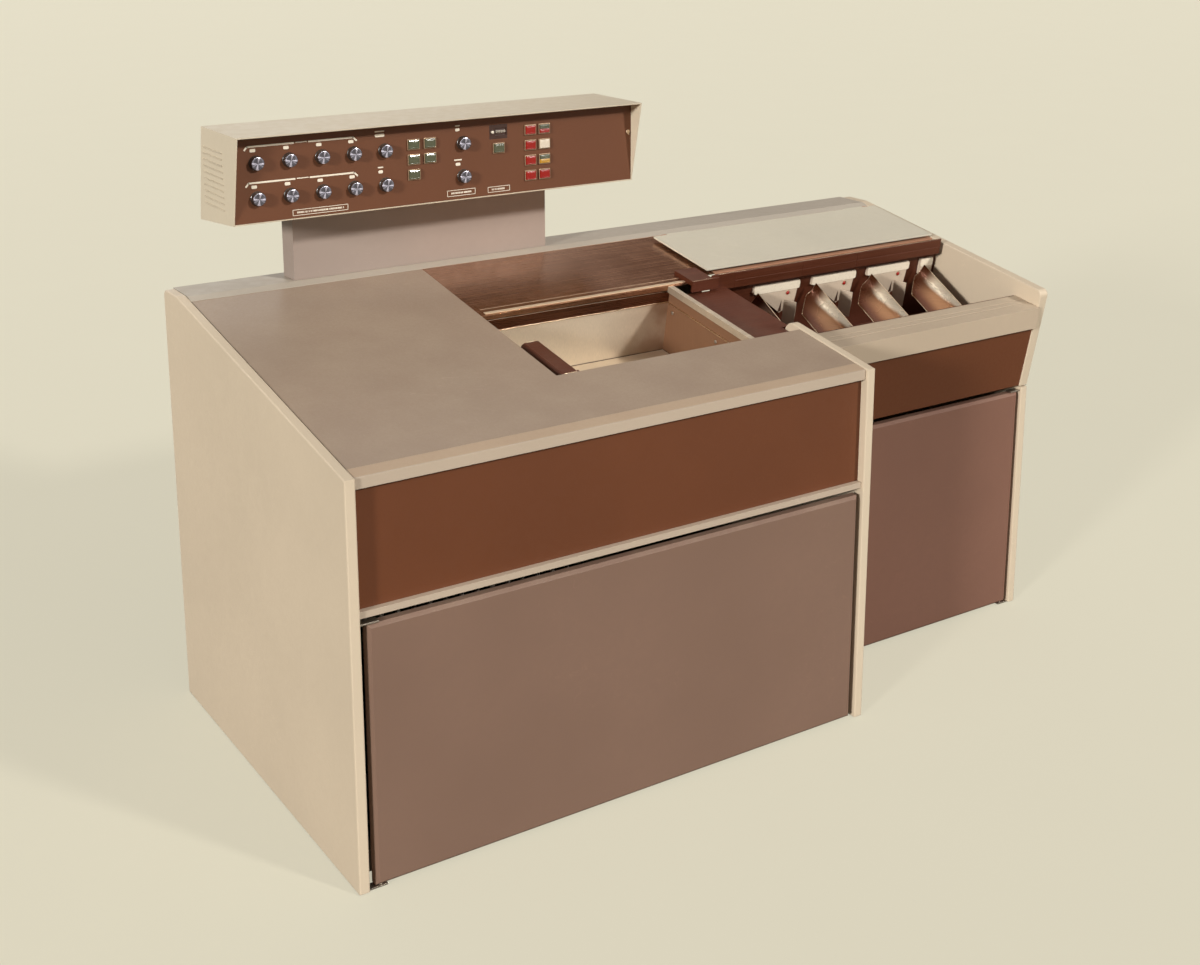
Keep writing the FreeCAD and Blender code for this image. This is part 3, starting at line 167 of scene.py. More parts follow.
class SorterTrim(bpy.types.PropertyGroup):
    band_height: length("Band height", "How far the deck band stands above the edging", 0.3)
    print_height: length("Print height", "Thickness of the console's print", 0.15)
    screw_radius: length("Screw radius", "Radius of a screw head", 4.0)
    screw_height: length("Screw height", "Height of a screw head", 1.6)
    louvre_reach: length("Louvre lip", "How far a louvre lip stands out", 1.0)
    louvre_height: length("Louvre lip height", "Height of a louvre lip", 2.9)
    rim_radius: length("Chute rim", "Radius of the rolled rim of a chute", 1.1)
    flutes: bpy.props.IntProperty(
        name="Knob flutes", description="Grooves round each knob", default=24, min=6, max=60)
    flute_depth: length("Flute depth", "Depth of the grooves round each knob", 0.45)


class SorterStudio(bpy.types.PropertyGroup):
    floor_radius: amount("Floor radius", "Radius of the pale floor", 70, 5,
                         subtype="DISTANCE", unit="LENGTH")
    floor_tone: colour("Floor", "Paint of the studio floor", tone(220, 214, 192))
    floor_glow: amount("Floor glow", "How much of the floor's tone the camera sees unlit", 0.72,
                       max=1)
    sky_tone: colour("Surround", "Colour of the studio's surround", (1.0, 0.965, 0.9, 1.0))
    shade_tone: colour("Dark side", "Colour of the surround's dark side", tone(70, 36, 22))
    sky_strength: amount("Surround strength", "Brightness of the surround", 0.19)
    mirror_strength: amount("Mirrored strength", "Brightness of the surround in reflections", 1.4)
    key_strength: amount("Key strength", "Strength of the key light from the front right", 2.35)
    side_strength: amount("Side strength", "Strength of the side light from the front left", 2.7)
    top_strength: amount("Top strength", "Strength of the soft light from above", 0.2)


# Mesh shapes

BOX_FACES = ((0, 2, 3, 1), (4, 5, 7, 6), (0, 1, 5, 4), (2, 6, 7, 3), (0, 4, 6, 2), (1, 3, 7, 5))


def add_box(shape, x, y, z, point=bench, soft=0.0, finish=0):
    """A box between two values on each axis, its edges rounded by soft millimetres."""
    corners = [shape.verts.new(point(a, b, c)) for c in z for b in y for a in x]
    faces = [shape.faces.new([corners[i] for i in face]) for face in BOX_FACES]
    for face in faces:
        face.material_index = finish
    if soft:
        edges = list(dict.fromkeys(edge for face in faces for edge in face.edges))
        bmesh.ops.bevel(shape, geom=edges, offset=soft / 1000, segments=2, profile=0.5,
                        affect="EDGES", clamp_overlap=True)


def add_prism(shape, outline, point, low, high):
    """A prism on a flat outline: point(a, b, c) places outline point (a, b) at depth c."""
    near = [shape.verts.new(point(a, b, low)) for a, b in outline]
    far = [shape.verts.new(point(a, b, high)) for a, b in outline]
    shape.faces.new(near)
    shape.faces.new(list(reversed(far)))
    for i in range(len(outline)):
        j = (i + 1) % len(outline)
        shape.faces.new((near[i], far[i], far[j], near[j]))


def add_rings(shape, rings, finish=0, smooth=False, hoop=False):
    """A skin over rings of equal length, closed by caps, or round on itself as a hoop.

    The finish is one index, or a list with one for each band.
    """
    loops = [[shape.verts.new(place) for place in ring] for ring in rings]
    finishes = finish if isinstance(finish, list) else [finish] * len(loops)
    onward = loops[1:] + loops[:1] if hoop else loops[1:]
    for k, (near, far) in enumerate(zip(loops, onward)):
        for i in range(len(near)):
            j = (i + 1) % len(near)
            face = shape.faces.new((near[i], near[j], far[j], far[i]))
            face.material_index = finishes[k]
            face.smooth = smooth
    if not hoop:
        for k in (0, -1):
            shape.faces.new(loops[k]).material_index = finishes[k]


def add_tube(shape, points, radius, steps=8):
    """A round bar along a line of points, with flat ends."""
    rings = []
    side = None
    for i, point in enumerate(points):
        ahead = (points[min(i + 1, len(points) - 1)] - points[max(i - 1, 0)]).normalized()
        side = ahead.orthogonal() if side is None else side - ahead * side.dot(ahead)
        side.normalize()
        up = ahead.cross(side)
        rings.append([point + radius / 1000 * (math.cos(t) * side + math.sin(t) * up)
                      for t in (2 * math.pi * k / steps for k in range(steps))])
    add_rings(shape, rings, smooth=True)


def turned(centre, out, profile, steps, flutes=0, depth=0.0):
    """The rings of a turned shape: radius and height along out, both in millimetres."""
    side = TO_RIGHT if abs(out.x) < 0.9 else TO_BACK
    side = (side - out * side.dot(out)).normalized()
    up = out.cross(side)
    rings = []
    for radius, along in profile:
        rings.append([])
        for k in range(steps):
            turn = 2 * math.pi * k / steps
            reach = radius - depth * (0.5 - 0.5 * math.cos(flutes * turn))
            rings[-1].append(centre + out * along / 1000
                             + (math.cos(turn) * side + math.sin(turn) * up) * reach / 1000)
    return rings


def rounded_outline(width, height, corner, steps=4):
    """A rounded rectangle about the origin, as points (a, b)."""
    points = []
    for cx, cz, start in ((1, 1, 0), (-1, 1, 90), (-1, -1, 180), (1, -1, 270)):
        for k in range(steps + 1):
            turn = math.radians(start + 90 * k / steps)
            points.append((cx * (width / 2 - corner) + corner * math.cos(turn),
                           cz * (height / 2 - corner) + corner * math.sin(turn)))
    return points


def linked(name, data):
    thing = bpy.data.objects.new(name, data)
    bpy.context.scene.collection.objects.link(thing)
    return thing


def as_object(name, shape):
    """Turns a bmesh into an object of the scene and frees it."""
    mesh = bpy.data.meshes.new(name)
    shape.to_mesh(mesh)
    shape.free()
    return linked(name, mesh)


def finished(shape, name, slot, *finishes, body="cabinet", replaces=None, turn=True):
    """Makes a bmesh a piece that rides on a body, in the slot's own finish or in those named."""
    if turn:
        bmesh.ops.recalc_face_normals(shape, faces=shape.faces)
    piece = as_object(name, shape)
    for finish in finishes or (slot,):
        piece.data.materials.append(FINISHES[finish])
    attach(piece, body)
    if replaces:
        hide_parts(replaces)


def boxed(name, slot, finish, point, soft, *boxes, body="cabinet"):
    """A piece that is made of boxes alone."""
    shape = bmesh.new()
    for x, y, z in boxes:
        add_box(shape, x, y, z, point, soft)
    finished(shape, name, slot, finish, body=body)


# Nodes

def name_sockets(group, inputs, outputs):
    """Names a group's sockets: an input is given by its default value or by its kind's name."""
    kinds = {float: "Float", int: "Int", tuple: "Vector"}
    found = {}
    for label, value in inputs.items():
        kind = kinds.get(type(value), value)
        socket = group.interface.new_socket(
            label, in_out="INPUT", socket_type="NodeSocket" + kind)
        if kind != value:
            socket.default_value = value
        found[label] = socket.identifier
    for label, kind in outputs.items():
        group.interface.new_socket(label, in_out="OUTPUT", socket_type="NodeSocket" + kind)
    return found


class Nodes:
    """Helps to lay nodes in a tree."""

    def __init__(self, tree):
        self.tree = tree

    def put(self, value, socket):
        """Links another node's output to a socket, or sets a plain value on it."""
        if isinstance(value, bpy.types.NodeSocket):
            self.tree.links.new(value, socket)
        else:
            socket.default_value = value

    def add(self, kind, links=None, **settings):
        node = self.tree.nodes.new(kind)
        for key, value in settings.items():
            setattr(node, key, value)
        for key, value in (links or {}).items():
            self.put(value, node.inputs[key])
        return node

    def out(self, kind, socket, links=None, **settings):
        """Adds a node and gives one of its outputs."""
        return self.add(kind, links, **settings).outputs[socket]


class Tree(Nodes):
    """A Geometry Nodes tree with named inputs, the last of them its material."""

    def __init__(self, name, inputs):
        super().__init__(bpy.data.node_groups.new(name, "GeometryNodeTree"))
        self.sockets = name_sockets(self.tree, {**inputs, "Material": "Material"},
                                    {"Geometry": "Geometry"})
        self.given = self.add("NodeGroupInput").outputs
        self.result = self.add("NodeGroupOutput").inputs

    def end(self, points, instance, **links):
        """Puts an instance on every point and makes them real, in the tree's material."""
        instances = self.out("GeometryNodeInstanceOnPoints", "Instances", {
            "Points": points, "Instance": instance, **links})
        real = self.out("GeometryNodeRealizeInstances", "Geometry", {"Geometry": instances})
        coated = self.out("GeometryNodeSetMaterial", "Geometry", {
            "Geometry": real, "Material": self.given["Material"]})
        self.put(coated, self.result[0])
        return self

    def grow(self, finish, values, base=None):
        """The tree's result as a plain mesh, with the modifier removed again."""
        seed = linked("seed", base or bpy.data.meshes.new("seed"))
        modifier = seed.modifiers.new("grow", "NODES")
        modifier.node_group = self.tree
        for label, value in {**values, "Material": FINISHES[finish]}.items():
            modifier[self.sockets[label]] = value
        graph = bpy.context.evaluated_depsgraph_get()
        mesh = bpy.data.meshes.new_from_object(seed.evaluated_get(graph))
        seed.modifiers.remove(modifier)
        bpy.data.objects.remove(seed)
        return mesh


def paste(shape, mesh, place):
    """Adds a grown mesh to a shape, moved by a matrix in scene metres."""
    mesh = mesh.copy()
    mesh.transform(place)
    shape.from_mesh(mesh)
    for face in shape.faces:
        face.material_index = 0


class Sheet(Nodes):
    """Helps to lay shader nodes in a material, a world or a group."""

    def maths(self, operation, a, b=0.0, clamp=False):
        return self.out("ShaderNodeMath", 0, {0: a, 1: b}, operation=operation, use_clamp=clamp)

    def times(self, a, b, clamp=False):
        return self.maths("MULTIPLY", a, b, clamp)

    def plus(self, a, b, clamp=False):
        return self.maths("ADD", a, b, clamp)

    def between(self, value, low, high, to_low=0.0, to_high=1.0):
        return self.out("ShaderNodeMapRange", "Result", {
            "Value": value, "From Min": low, "From Max": high, "To Min": to_low, "To Max": to_high},
            clamp=True, interpolation_type="SMOOTHSTEP")

    def mix(self, share, first, second):
        return self.out("ShaderNodeMix", 2, {0: share, 6: first, 7: second}, data_type="RGBA",
                        clamp_result=True)

    def noise(self, vector, scale, detail=2.0, roughness=0.5):
        return self.out("ShaderNodeTexNoise", "Fac", {
            "Vector": vector, "Scale": scale, "Detail": detail, "Roughness": roughness})

    def drawn(self, vector, by):
        """A vector scaled apart along each axis."""
        return self.out("ShaderNodeVectorMath", 0, {0: vector, 1: by}, operation="MULTIPLY")

    def split(self, vector):
        return self.add("ShaderNodeSeparateXYZ", {"Vector": vector}).outputs

    def places(self, kind):
        return self.out("ShaderNodeTexCoord", kind)

    def map(self, name):
        return self.out("ShaderNodeUVMap", "UV", uv_map=name)


class Effect(Sheet):
    """A shader group for an effect that more than one finish uses."""

    def __init__(self, name, inputs, *outputs):
        super().__init__(bpy.data.node_groups.new(name, "ShaderNodeTree"))
        name_sockets(self.tree, {"Vector": "Vector", **inputs},
                     {label: "Vector" if label == "Normal" else "Float" for label in outputs})
        self.given = self.add("NodeGroupInput").outputs
        self.result = self.add("NodeGroupOutput").inputs

    def end(self, **values):
        for label, value in values.items():
            self.put(value, self.result[label])
        return self.tree


@functools.cache
def paint_skin():
    """Sprayed paint: slow clouds of tone, fine mottle and orange peel."""
    skin = Effect("paint_skin", {"Mottle Scale": 40.0, "Peel Scale": 420.0},
                  "Cloud", "Mottle", "Peel")
    where = skin.given["Vector"]
    mottle = skin.noise(where, skin.given["Mottle Scale"], 4.0, 0.6)
    return skin.end(Cloud=skin.between(skin.noise(where, 2.2, 3.0, 0.55), 0.3, 0.7),
                    Mottle=skin.between(mottle, 0.3, 0.7),
                    Peel=skin.noise(where, skin.given["Peel Scale"], 2.0, 0.5))


@functools.cache
def brushed_lines():
    """Brushing lines drawn out along one axis, with slower bands between them."""
    brush = Effect("brushed_lines", {"Stretch": (4.0, 900.0, 900.0)}, "Lines", "Bands", "Smears")
    drawn = brush.drawn(brush.given["Vector"], brush.given["Stretch"])
    lines = brush.noise(drawn, 1.0, 3.0, 0.65)
    bands = brush.noise(brush.drawn(drawn, (0.5, 0.06, 0.06)), 1.0, 3.0, 0.6)
    smears = brush.noise(brush.given["Vector"], 7.0, 4.0, 0.6)
    return brush.end(Lines=brush.between(lines, 0.3, 0.7), Bands=brush.between(bands, 0.32, 0.68),
                     Smears=brush.between(smears, 0.35, 0.7))


@functools.cache
def worn_edges():
    """Rounded-off corners and a mask of the rubbed paint along them."""
    worn = Effect("worn_edges", {"Radius": 0.0012, "Amount": 0.5}, "Rub", "Normal")
    rounded = worn.out("ShaderNodeBevel", "Normal", {"Radius": worn.given["Radius"]}, samples=4)
    flat = worn.out("ShaderNodeNewGeometry", "Normal")
    along = worn.out("ShaderNodeVectorMath", "Value", {0: rounded, 1: flat},
                     operation="DOT_PRODUCT")
    edge = worn.between(along, 0.985, 0.85)
    patches = worn.between(worn.noise(worn.given["Vector"], 55.0, 5.0, 0.7), 0.42, 0.68)
    return worn.end(Rub=worn.times(worn.times(edge, patches), worn.given["Amount"], True),
                    Normal=rounded)


@functools.cache
def settled_dust():
    """Dust that settles on what faces up, thicker in patches."""
    dust = Effect("settled_dust", {"Amount": 0.2}, "Dust")
    where = dust.given["Vector"]
    up = dust.between(dust.split(dust.places("Normal"))["Z"], 0.25, 0.95)
    patches = dust.between(dust.noise(where, 9.0, 6.0, 0.62), 0.35, 0.7)
    specks = dust.between(dust.noise(where, 480.0, 1.0, 0.5), 0.62, 0.74)
    thick = dust.plus(dust.times(patches, 0.7), specks)
    return dust.end(Dust=dust.times(dust.times(up, thick), dust.given["Amount"], True))


@functools.cache
def fine_scratches():
    """Fine handling scratches: thin level lines of a long drawn noise."""
    fine = Effect("fine_scratches", {"Amount": 0.3}, "Scratch")
    where = fine.given["Vector"]
    total = None
    for turn, stretch in ((0.5, (3.0, 26.0, 19.0)), (2.0, (22.0, 5.0, 30.0))):
        spun = fine.out("ShaderNodeVectorRotate", 0, {"Vector": where, "Angle": turn},
                        rotation_type="Z_AXIS")
        level = fine.noise(fine.drawn(spun, stretch), 1.0, 2.0, 0.5)
        thin = fine.between(fine.maths("ABSOLUTE", fine.maths("SUBTRACT", level, 0.5)),
                            0.0035, 0.0008)
        total = thin if total is None else fine.maths("MAXIMUM", total, thin)
    gate = fine.between(fine.noise(where, 3.1, 3.0, 0.6), 0.5, 0.66)
    return fine.end(Scratch=fine.times(fine.times(total, gate), fine.given["Amount"], True))


# Materials

FINISHES = {}


class Finish(Sheet):
    """One material round a Principled shader that reads Object coordinates."""

    def __init__(self, name, **uniform):
        self.material = FINISHES[name] = bpy.data.materials.new(name)
        self.material.use_nodes = True
        super().__init__(self.material.node_tree)
        self.shader = self.tree.nodes["Principled BSDF"]
        for key, value in uniform.items():
            self.shader.inputs[key.replace("_", " ")].default_value = value
        self.where = self.places("Object")
        self.normal = None

    def use(self, effect, **inputs):
        node = self.add("ShaderNodeGroup", node_tree=effect())
        self.put(self.where, node.inputs["Vector"])
        for key, value in inputs.items():
            node.inputs[key.replace("_", " ")].default_value = value
        return node.outputs

    def feed(self, socket, value):
        self.put(value, self.shader.inputs[socket])

    def rubbed(self, tint, radius, share, bright):
        """The tint with its corners rubbed bright, which also rounds them off in the relief."""
        edges = self.use(worn_edges, Radius=radius, Amount=share)
        self.normal = edges["Normal"]
        return self.mix(edges["Rub"], tint, bright)

    def dusted(self, tint, share, settled):
        """The tint under dust, whose mask is kept."""
        self.dust = self.use(settled_dust, Amount=share)["Dust"]
        return self.mix(self.dust, tint, settled)

    def end(self, tint, gloss, height, depth):
        """Feeds the shader its colour, its roughness and its relief."""
        self.feed("Base Color", tint)
        self.feed("Roughness", gloss)
        links = {"Height": height, "Distance": depth}
        if self.normal:
            links["Normal"] = self.normal
        self.feed("Normal", self.out("ShaderNodeBump", "Normal", links))


def painted(name, base, rough=0.42, vary=0.07, peel=0.00005, mottle=45.0, peel_scale=420.0,
            rub=0.35, rubbed=None, dust=0.12, scratches=0.25, radius=0.0012):
    """Sprayed or laminated surface: clouding, orange peel, rubbed edges, dust and scratches."""
    finish = Finish(name, Specular_IOR_Level=0.28)
    skin = finish.use(paint_skin, Mottle_Scale=mottle, Peel_Scale=peel_scale)
    tint = finish.mix(skin["Cloud"], shade(base, 1 - vary), shade(base, 1 + vary))
    tint = finish.mix(finish.times(skin["Mottle"], 0.35), tint, shade(base, 1 - vary))
    tint = finish.rubbed(tint, radius, rub, rubbed or shade(base, 1.5))
    scratch = finish.use(fine_scratches, Amount=scratches)["Scratch"]
    tint = finish.mix(scratch, tint, shade(base, 1.35))
    tint = finish.dusted(tint, dust, tone(206, 192, 168))
    gloss = finish.between(skin["Mottle"], 0.0, 1.0, rough - 0.05, rough + 0.06)
    gloss = finish.plus(gloss, finish.times(finish.dust, 0.4))
    gloss = finish.maths("SUBTRACT", gloss, finish.times(scratch, 0.12), True)
    finish.end(tint, gloss, skin["Peel"], peel)


def metal(name, base, rough=0.3, contrast=0.16, metallic=1.0):
    """Bare or anodised metal with brushing lines, smears and bright corners."""
    finish = Finish(name, Metallic=metallic)
    brush = finish.use(brushed_lines)
    tint = finish.mix(brush["Lines"], shade(base, 1 - contrast), shade(base, 1 + contrast * 0.6))
    tint = finish.mix(finish.times(brush["Bands"], 0.4), tint, shade(base, 1 - contrast * 1.2))
    tint = finish.rubbed(tint, 0.0008, 0.4, shade(base, 1.6))
    tint = finish.dusted(tint, 0.06, tone(196, 182, 158))
    gloss = finish.between(brush["Lines"], 0.0, 1.0, rough - 0.06, rough + 0.07)
    gloss = finish.plus(gloss, finish.times(brush["Smears"], 0.08))
    scratch = finish.use(fine_scratches, Amount=0.3)["Scratch"]
    finish.end(tint, finish.plus(gloss, finish.times(scratch, 0.2), True), brush["Lines"], 0.00002)


def moulded(name, base, rough=0.35, coat=0.0, grain=0.00004):
    """Moulded plastic or rubber with a fine grain and shiny rubbed corners."""
    finish = Finish(name, Coat_Weight=coat)
    skin = finish.use(paint_skin, Mottle_Scale=160.0, Peel_Scale=900.0)
    tint = finish.mix(skin["Cloud"], shade(base, 0.94), shade(base, 1.06))
    tint = finish.rubbed(tint, 0.0006, 0.4, shade(base, 1.4))
    tint = finish.dusted(tint, 0.1, tone(200, 186, 162))
    gloss = finish.between(skin["Mottle"], 0, 1, rough - 0.05, rough + 0.07)
    finish.end(tint, gloss, skin["Peel"], grain)


def well_steel(base):
    """Folded stainless sheet: fine upright brushing, brown painted shade on the right wall, a brown
    painted reflection on the front-facing sheet towards the right, and brown on the top flange.
    """
    finish = Finish("well_steel", Metallic=0.5)
    brush = finish.use(brushed_lines, Stretch=(700.0, 700.0, 5.0))
    tint = finish.mix(brush["Lines"], shade(base, 0.92), shade(base, 1.05))
    place = finish.split(finish.where)
    facing = finish.split(finish.places("Normal"))
    cloud = finish.between(finish.noise(finish.where, 11.0, 3.0, 0.5), 0.3, 0.7)
    # Painted reflection: the front-facing sheet turns brown towards the right, in clouds.
    corner = finish.times(finish.between(place["X"], -0.09, 0.09),
                          finish.between(cloud, 0.0, 1.0, 0.45, 1.0))
    # Painted shade: the right wall, which faces left, turns brown.
    right_wall_painted_shade = finish.between(facing["X"], -0.6, -0.95, 0.0, 0.9)
    front = finish.between(facing["Y"], -0.5, -0.9, 0.0, 0.75)
    painted_shade_and_reflection = finish.maths("MAXIMUM", right_wall_painted_shade, finish.times(corner, front))
    flange = finish.times(finish.between(facing["Z"], 0.6, 0.9, 0.0, 0.8),
                          finish.between(place["Z"], 0.74, 0.77))
    tint = finish.mix(finish.maths("MAXIMUM", painted_shade_and_reflection, flange), tint, tone(130, 86, 55))
    gloss = finish.between(brush["Lines"], 0.0, 1.0, 0.46, 0.58)
    gloss = finish.plus(gloss, finish.times(brush["Smears"], 0.08))
    finish.normal = finish.use(worn_edges, Radius=0.0008, Amount=0.0)["Normal"]
    finish.end(tint, gloss, brush["Lines"], 0.00001)


def chute_steel():
    """Chute steel with painted reflections, dark brown round its bend and lighter brown towards its
    right edge, and a painted highlight streak beside that edge.
    """
    finish = Finish("chute_steel", Metallic=0.5)
    sheet = finish.split(finish.map("sheet"))
    along = sheet["Y"]
    wave = finish.maths("SUBTRACT", finish.noise(finish.where, 16.0, 3.0, 0.5), 0.5)
    turn = finish.plus(sheet["X"], finish.times(wave, 0.16))
    # Painted highlight: a bright streak beside the right edge, from a little way down the chute.
    reach = finish.between(along, 0.1, 0.95, 0.36, 0.0)
    chute_painted_highlight = finish.between(finish.maths("SUBTRACT", turn, reach), 0.07, -0.05)
    # Painted reflection: dark brown round the bend, lighter brown towards the right edge.
    soft = finish.times(finish.between(turn, 0.85, 0.45), finish.between(along, 0.05, 0.35))
    tint = finish.mix(soft, tone(84, 42, 22), tone(158, 114, 80))
    tint = finish.mix(finish.times(chute_painted_highlight, finish.between(along, 0.08, 0.26)), tint,
                      tone(244, 232, 210))
    brush = finish.use(brushed_lines, Stretch=(30.0, 12.0, 500.0))
    tint = finish.mix(finish.times(brush["Lines"], 0.2), tint, tone(90, 56, 36))
    gloss = finish.between(brush["Smears"], 0.0, 1.0, 0.22, 0.34)
    finish.end(tint, gloss, brush["Lines"], 0.000008)


def spun_metal(base):
    """The turned end of a knob: rings, and painted highlights as bright rays round its middle on a
    darkened base, kept on its UV map.
    """
    finish = Finish("knob_cap", Metallic=0.7, Anisotropic=0.85)
    finish.feed("Tangent", finish.out("ShaderNodeTangent", "Tangent", direction_type="UV_MAP",
                                      uv_map="turn"))
    turn = finish.map("turn")
    rings = finish.noise(finish.drawn(turn, (3.0, 5200.0, 0.0)), 1.0, 3.0, 0.6)
    rings = finish.between(rings, 0.3, 0.7)
    around = finish.split(turn)["X"]
    tint = finish.mix(rings, shade(base, 0.16), shade(base, 0.24))
    # Painted highlights: bright rays at fixed turns round the cap.
    for peaks, start, width, strength in (
            (2, 1.77, 0.78, 1.0), (2, 0.1, 0.9, 0.7), (3, 0.9, 0.9, 0.35)):
        angle = finish.plus(finish.times(around, 2 * math.pi * peaks), start * 2)
        ray = finish.between(finish.maths("COSINE", angle), width, 1.0, 0.0, strength)
        tint = finish.mix(ray, tint, base)
    finish.end(tint, finish.between(rings, 0, 1, 0.2, 0.34), rings, 0.00002)


def make_finishes():
    """Every material of the sorter, under its own name in FINISHES."""
    own = bpy.context.scene.sorter_finish
    painted("cream_paint", own.cream, 0.42, 0.035, peel=0.00003, dust=0.1)
    painted("trim_paint", own.trim, 0.36, 0.035)
    # Painted shade: the edging's top darker than its front.
    painted("deck_band", own.band, 0.4, 0.04, mottle=120.0)
    painted("ledge_paint", own.ledge, 0.46, 0.03, rub=0.0, peel=0.000008, dust=0.0,
            scratches=0.05)
    painted("lip_paint", own.lip, 0.34, 0.04)
    painted("door_paint", own.door, 0.36, 0.05, peel=0.00006, rub=0.5)
    painted("side_door_paint", own.side_door, 0.36, 0.05, rub=0.5)
    painted("brown_laminate", own.fascia, 0.45, 0.08, mottle=150.0, peel=0.00009,
            peel_scale=650.0, rub=0.25)
    painted("deck_laminate", own.slab, 0.34, 0.05, mottle=180.0, peel_scale=700.0, rub=0.3)
    painted("frame_paint", tone(96, 84, 76), 0.5, 0.1, dust=0.4)
    painted("cover_paint", own.cover, 0.4, 0.03)
    painted("console_paint", own.console, 0.45, 0.03, peel=0.00002)
    painted("face_paint", own.face, 0.5, 0.05, mottle=200.0, peel=0.00006, peel_scale=800.0,
            rub=0.2)
    painted("pedestal_paint", own.pedestal, 0.4, 0.05)
    painted("motor_paint", tone(84, 92, 92), 0.45, 0.1, peel=0.0002, rub=0.7,
            rubbed=tone(170, 160, 150), dust=0.4)
    painted("board_material", tone(64, 92, 52), 0.4, 0.12, mottle=300.0, dust=0.35, rub=0.1)
    painted("bed_steel", tone(176, 130, 104), 0.36, 0.06, dust=0.15)
    painted("print_ink", own.ink, 0.5, 0.04, mottle=600.0, rub=0.0, radius=0.0001, dust=0.0,
            scratches=0.15)
    painted("dark_line", tone(70, 46, 36), 0.5, 0.05, radius=0.0002, rub=0.0)
    metal("stainless_steel", own.steel, 0.38, metallic=0.7)
    metal("dark_steel", own.deck_steel, 0.2, 0.2, 0.9)
    metal("ridge_steel", tone(206, 184, 156), 0.4, 0.1, 0.3)
    # The chutes' stainless is toned dark brown: painted dark reflection.
    metal("chute_edge", tone(126, 84, 56), 0.3, metallic=0.6)
    metal("brown_metal", own.channel, 0.4, 0.2, 0.35)
    metal("throat_steel", tone(104, 66, 46), 0.22, 0.3, 0.8)
    metal("bright_edge", tone(222, 200, 172), 0.24, 0.1)
    metal("bezel_frame", tone(178, 152, 124), 0.3, 0.08, 0.6)
    metal("hinge_steel", tone(170, 160, 148), 0.34, 0.12)
    # A lighter copy of the guide plastic: painted light on the guides' caps.
    moulded("cap_plastic", tone(238, 226, 206), 0.3, 0.3)
    moulded("knob_grip", tone(44, 34, 30), 0.32, 0.3)
    moulded("guide_plastic", own.guide, 0.32, 0.2)
    moulded("green_lens", own.green, 0.2, 0.6)
    moulded("red_lens", own.red, 0.2, 0.6)
    moulded("white_lens", own.white, 0.22, 0.6)
    moulded("yellow_lens", own.yellow, 0.22, 0.6)
    moulded("counter_plastic", tone(56, 30, 20), 0.4)
    moulded("reset_plastic", tone(232, 222, 206), 0.3, 0.4)
    moulded("roller_rubber", tone(52, 44, 40), 0.6, grain=0.00015)
    moulded("foot_rubber", tone(50, 46, 42), 0.65, grain=0.00015)
    moulded("chip_black", tone(38, 36, 36), 0.4)
    well_steel(own.steel)
    chute_steel()
    spun_metal(tone(226, 222, 240))


NODE_FINISHES = {
    "rear_ledge": "ledge_paint",
    "right_front_lip": "lip_paint",
    "right_door": "side_door_paint",
    "transport_bed": "bed_steel",
    "hopper_tray": "well_steel",
    "pocket_chutes": "chute_edge",
}
SLOT_FINISHES = {"steel": "stainless_steel", "knob_metal": "knob_grip"}


class SORTER_OT_finishes(bpy.types.Operator):
    """Gives every cabinet solid its paint, metal or plastic."""
    bl_idname = "sorter.finishes"
    bl_label = "Cabinet finishes"

    def execute(self, context):
        make_finishes()
        slots = {part["node"]: part["material_slot"] for part in frame["record"]["subparts"]}
        for name, node in frame["nodes"].items():
            finish = NODE_FINISHES.get(name, SLOT_FINISHES.get(slots[name], slots[name]))
            node.data.materials.clear()
            node.data.materials.append(FINISHES[finish])
        return {"FINISHED"}


# Deck and cabinet trim

class SORTER_OT_deck_top_painted_shade(bpy.types.Operator):
    """Lays a thin beige sheet on the top of the deck's front edging: painted shade that shows the
    top darker than the front.
    """
    bl_idname = "sorter.deck_band"
    bl_label = "Deck band"

    def execute(self, context):
        high = context.scene.sorter_trim.band_height * 1000
        boxed("deck_band", "trim_paint", "deck_band", deck, 0.12,
              ((21, 1122), (9, 37.4), (-0.2, high)))
        return {"FINISHED"}


class SORTER_OT_well(bpy.types.Operator):
    """Fits the well's seams, its throat and bead, and the pusher's bright end channel."""
    bl_idname = "sorter.well"
    bl_label = "Feed well"

    def execute(self, context):
        boxed("well_seams", "steel", "dark_line", deck, 0,
              ((530.4, 999.6), (508.6, 509.8), WELL_FLOOR),
              ((998.6, 999.8), (213.4, 509.6), WELL_FLOOR))
        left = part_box("hopper_pusher")[0][0] * 1000 + HALF_WIDTH
        shape = bmesh.new()
        outer = [(2, -50), (38, -50), (38, -9), (34.5, -5.4), (5.5, -5.4), (2, -9)]
        inner = [(4.2, -48), (35.8, -48), (35.8, -10), (33.6, -7.4), (6.4, -7.4), (4.2, -10)]
        for i in range(1, len(outer)):
            j = (i + 1) % len(outer)
            add_prism(shape, [(left + a, b) for a, b in (outer[i], outer[j], inner[j], inner[i])],
                      deck_front, 213.7, 216)
        for start, wide in ((222, 2.2), (372, 1.6)):
            add_box(shape, (left + 5.6, left + 34.4), (start, start + wide), (-5.2, -4.7), deck)
        finished(shape, "pusher_end", "steel", "bright_edge", body="hopper_pusher")
        boxed("throat_plate", "dark_steel", "throat_steel", deck, 0.25,
              ((531, 999.4), (508.9, 510.1), (-38, -14.4)))
        boxed("well_bead", "steel", "bright_edge", deck, 0.3,
              ((531, 999.4), (507.6, 510.1), (-40.2, -38.2)),
              ((996.6, 999.8), (213.6, 505), (-42, -40)))
        return {"FINISHED"}


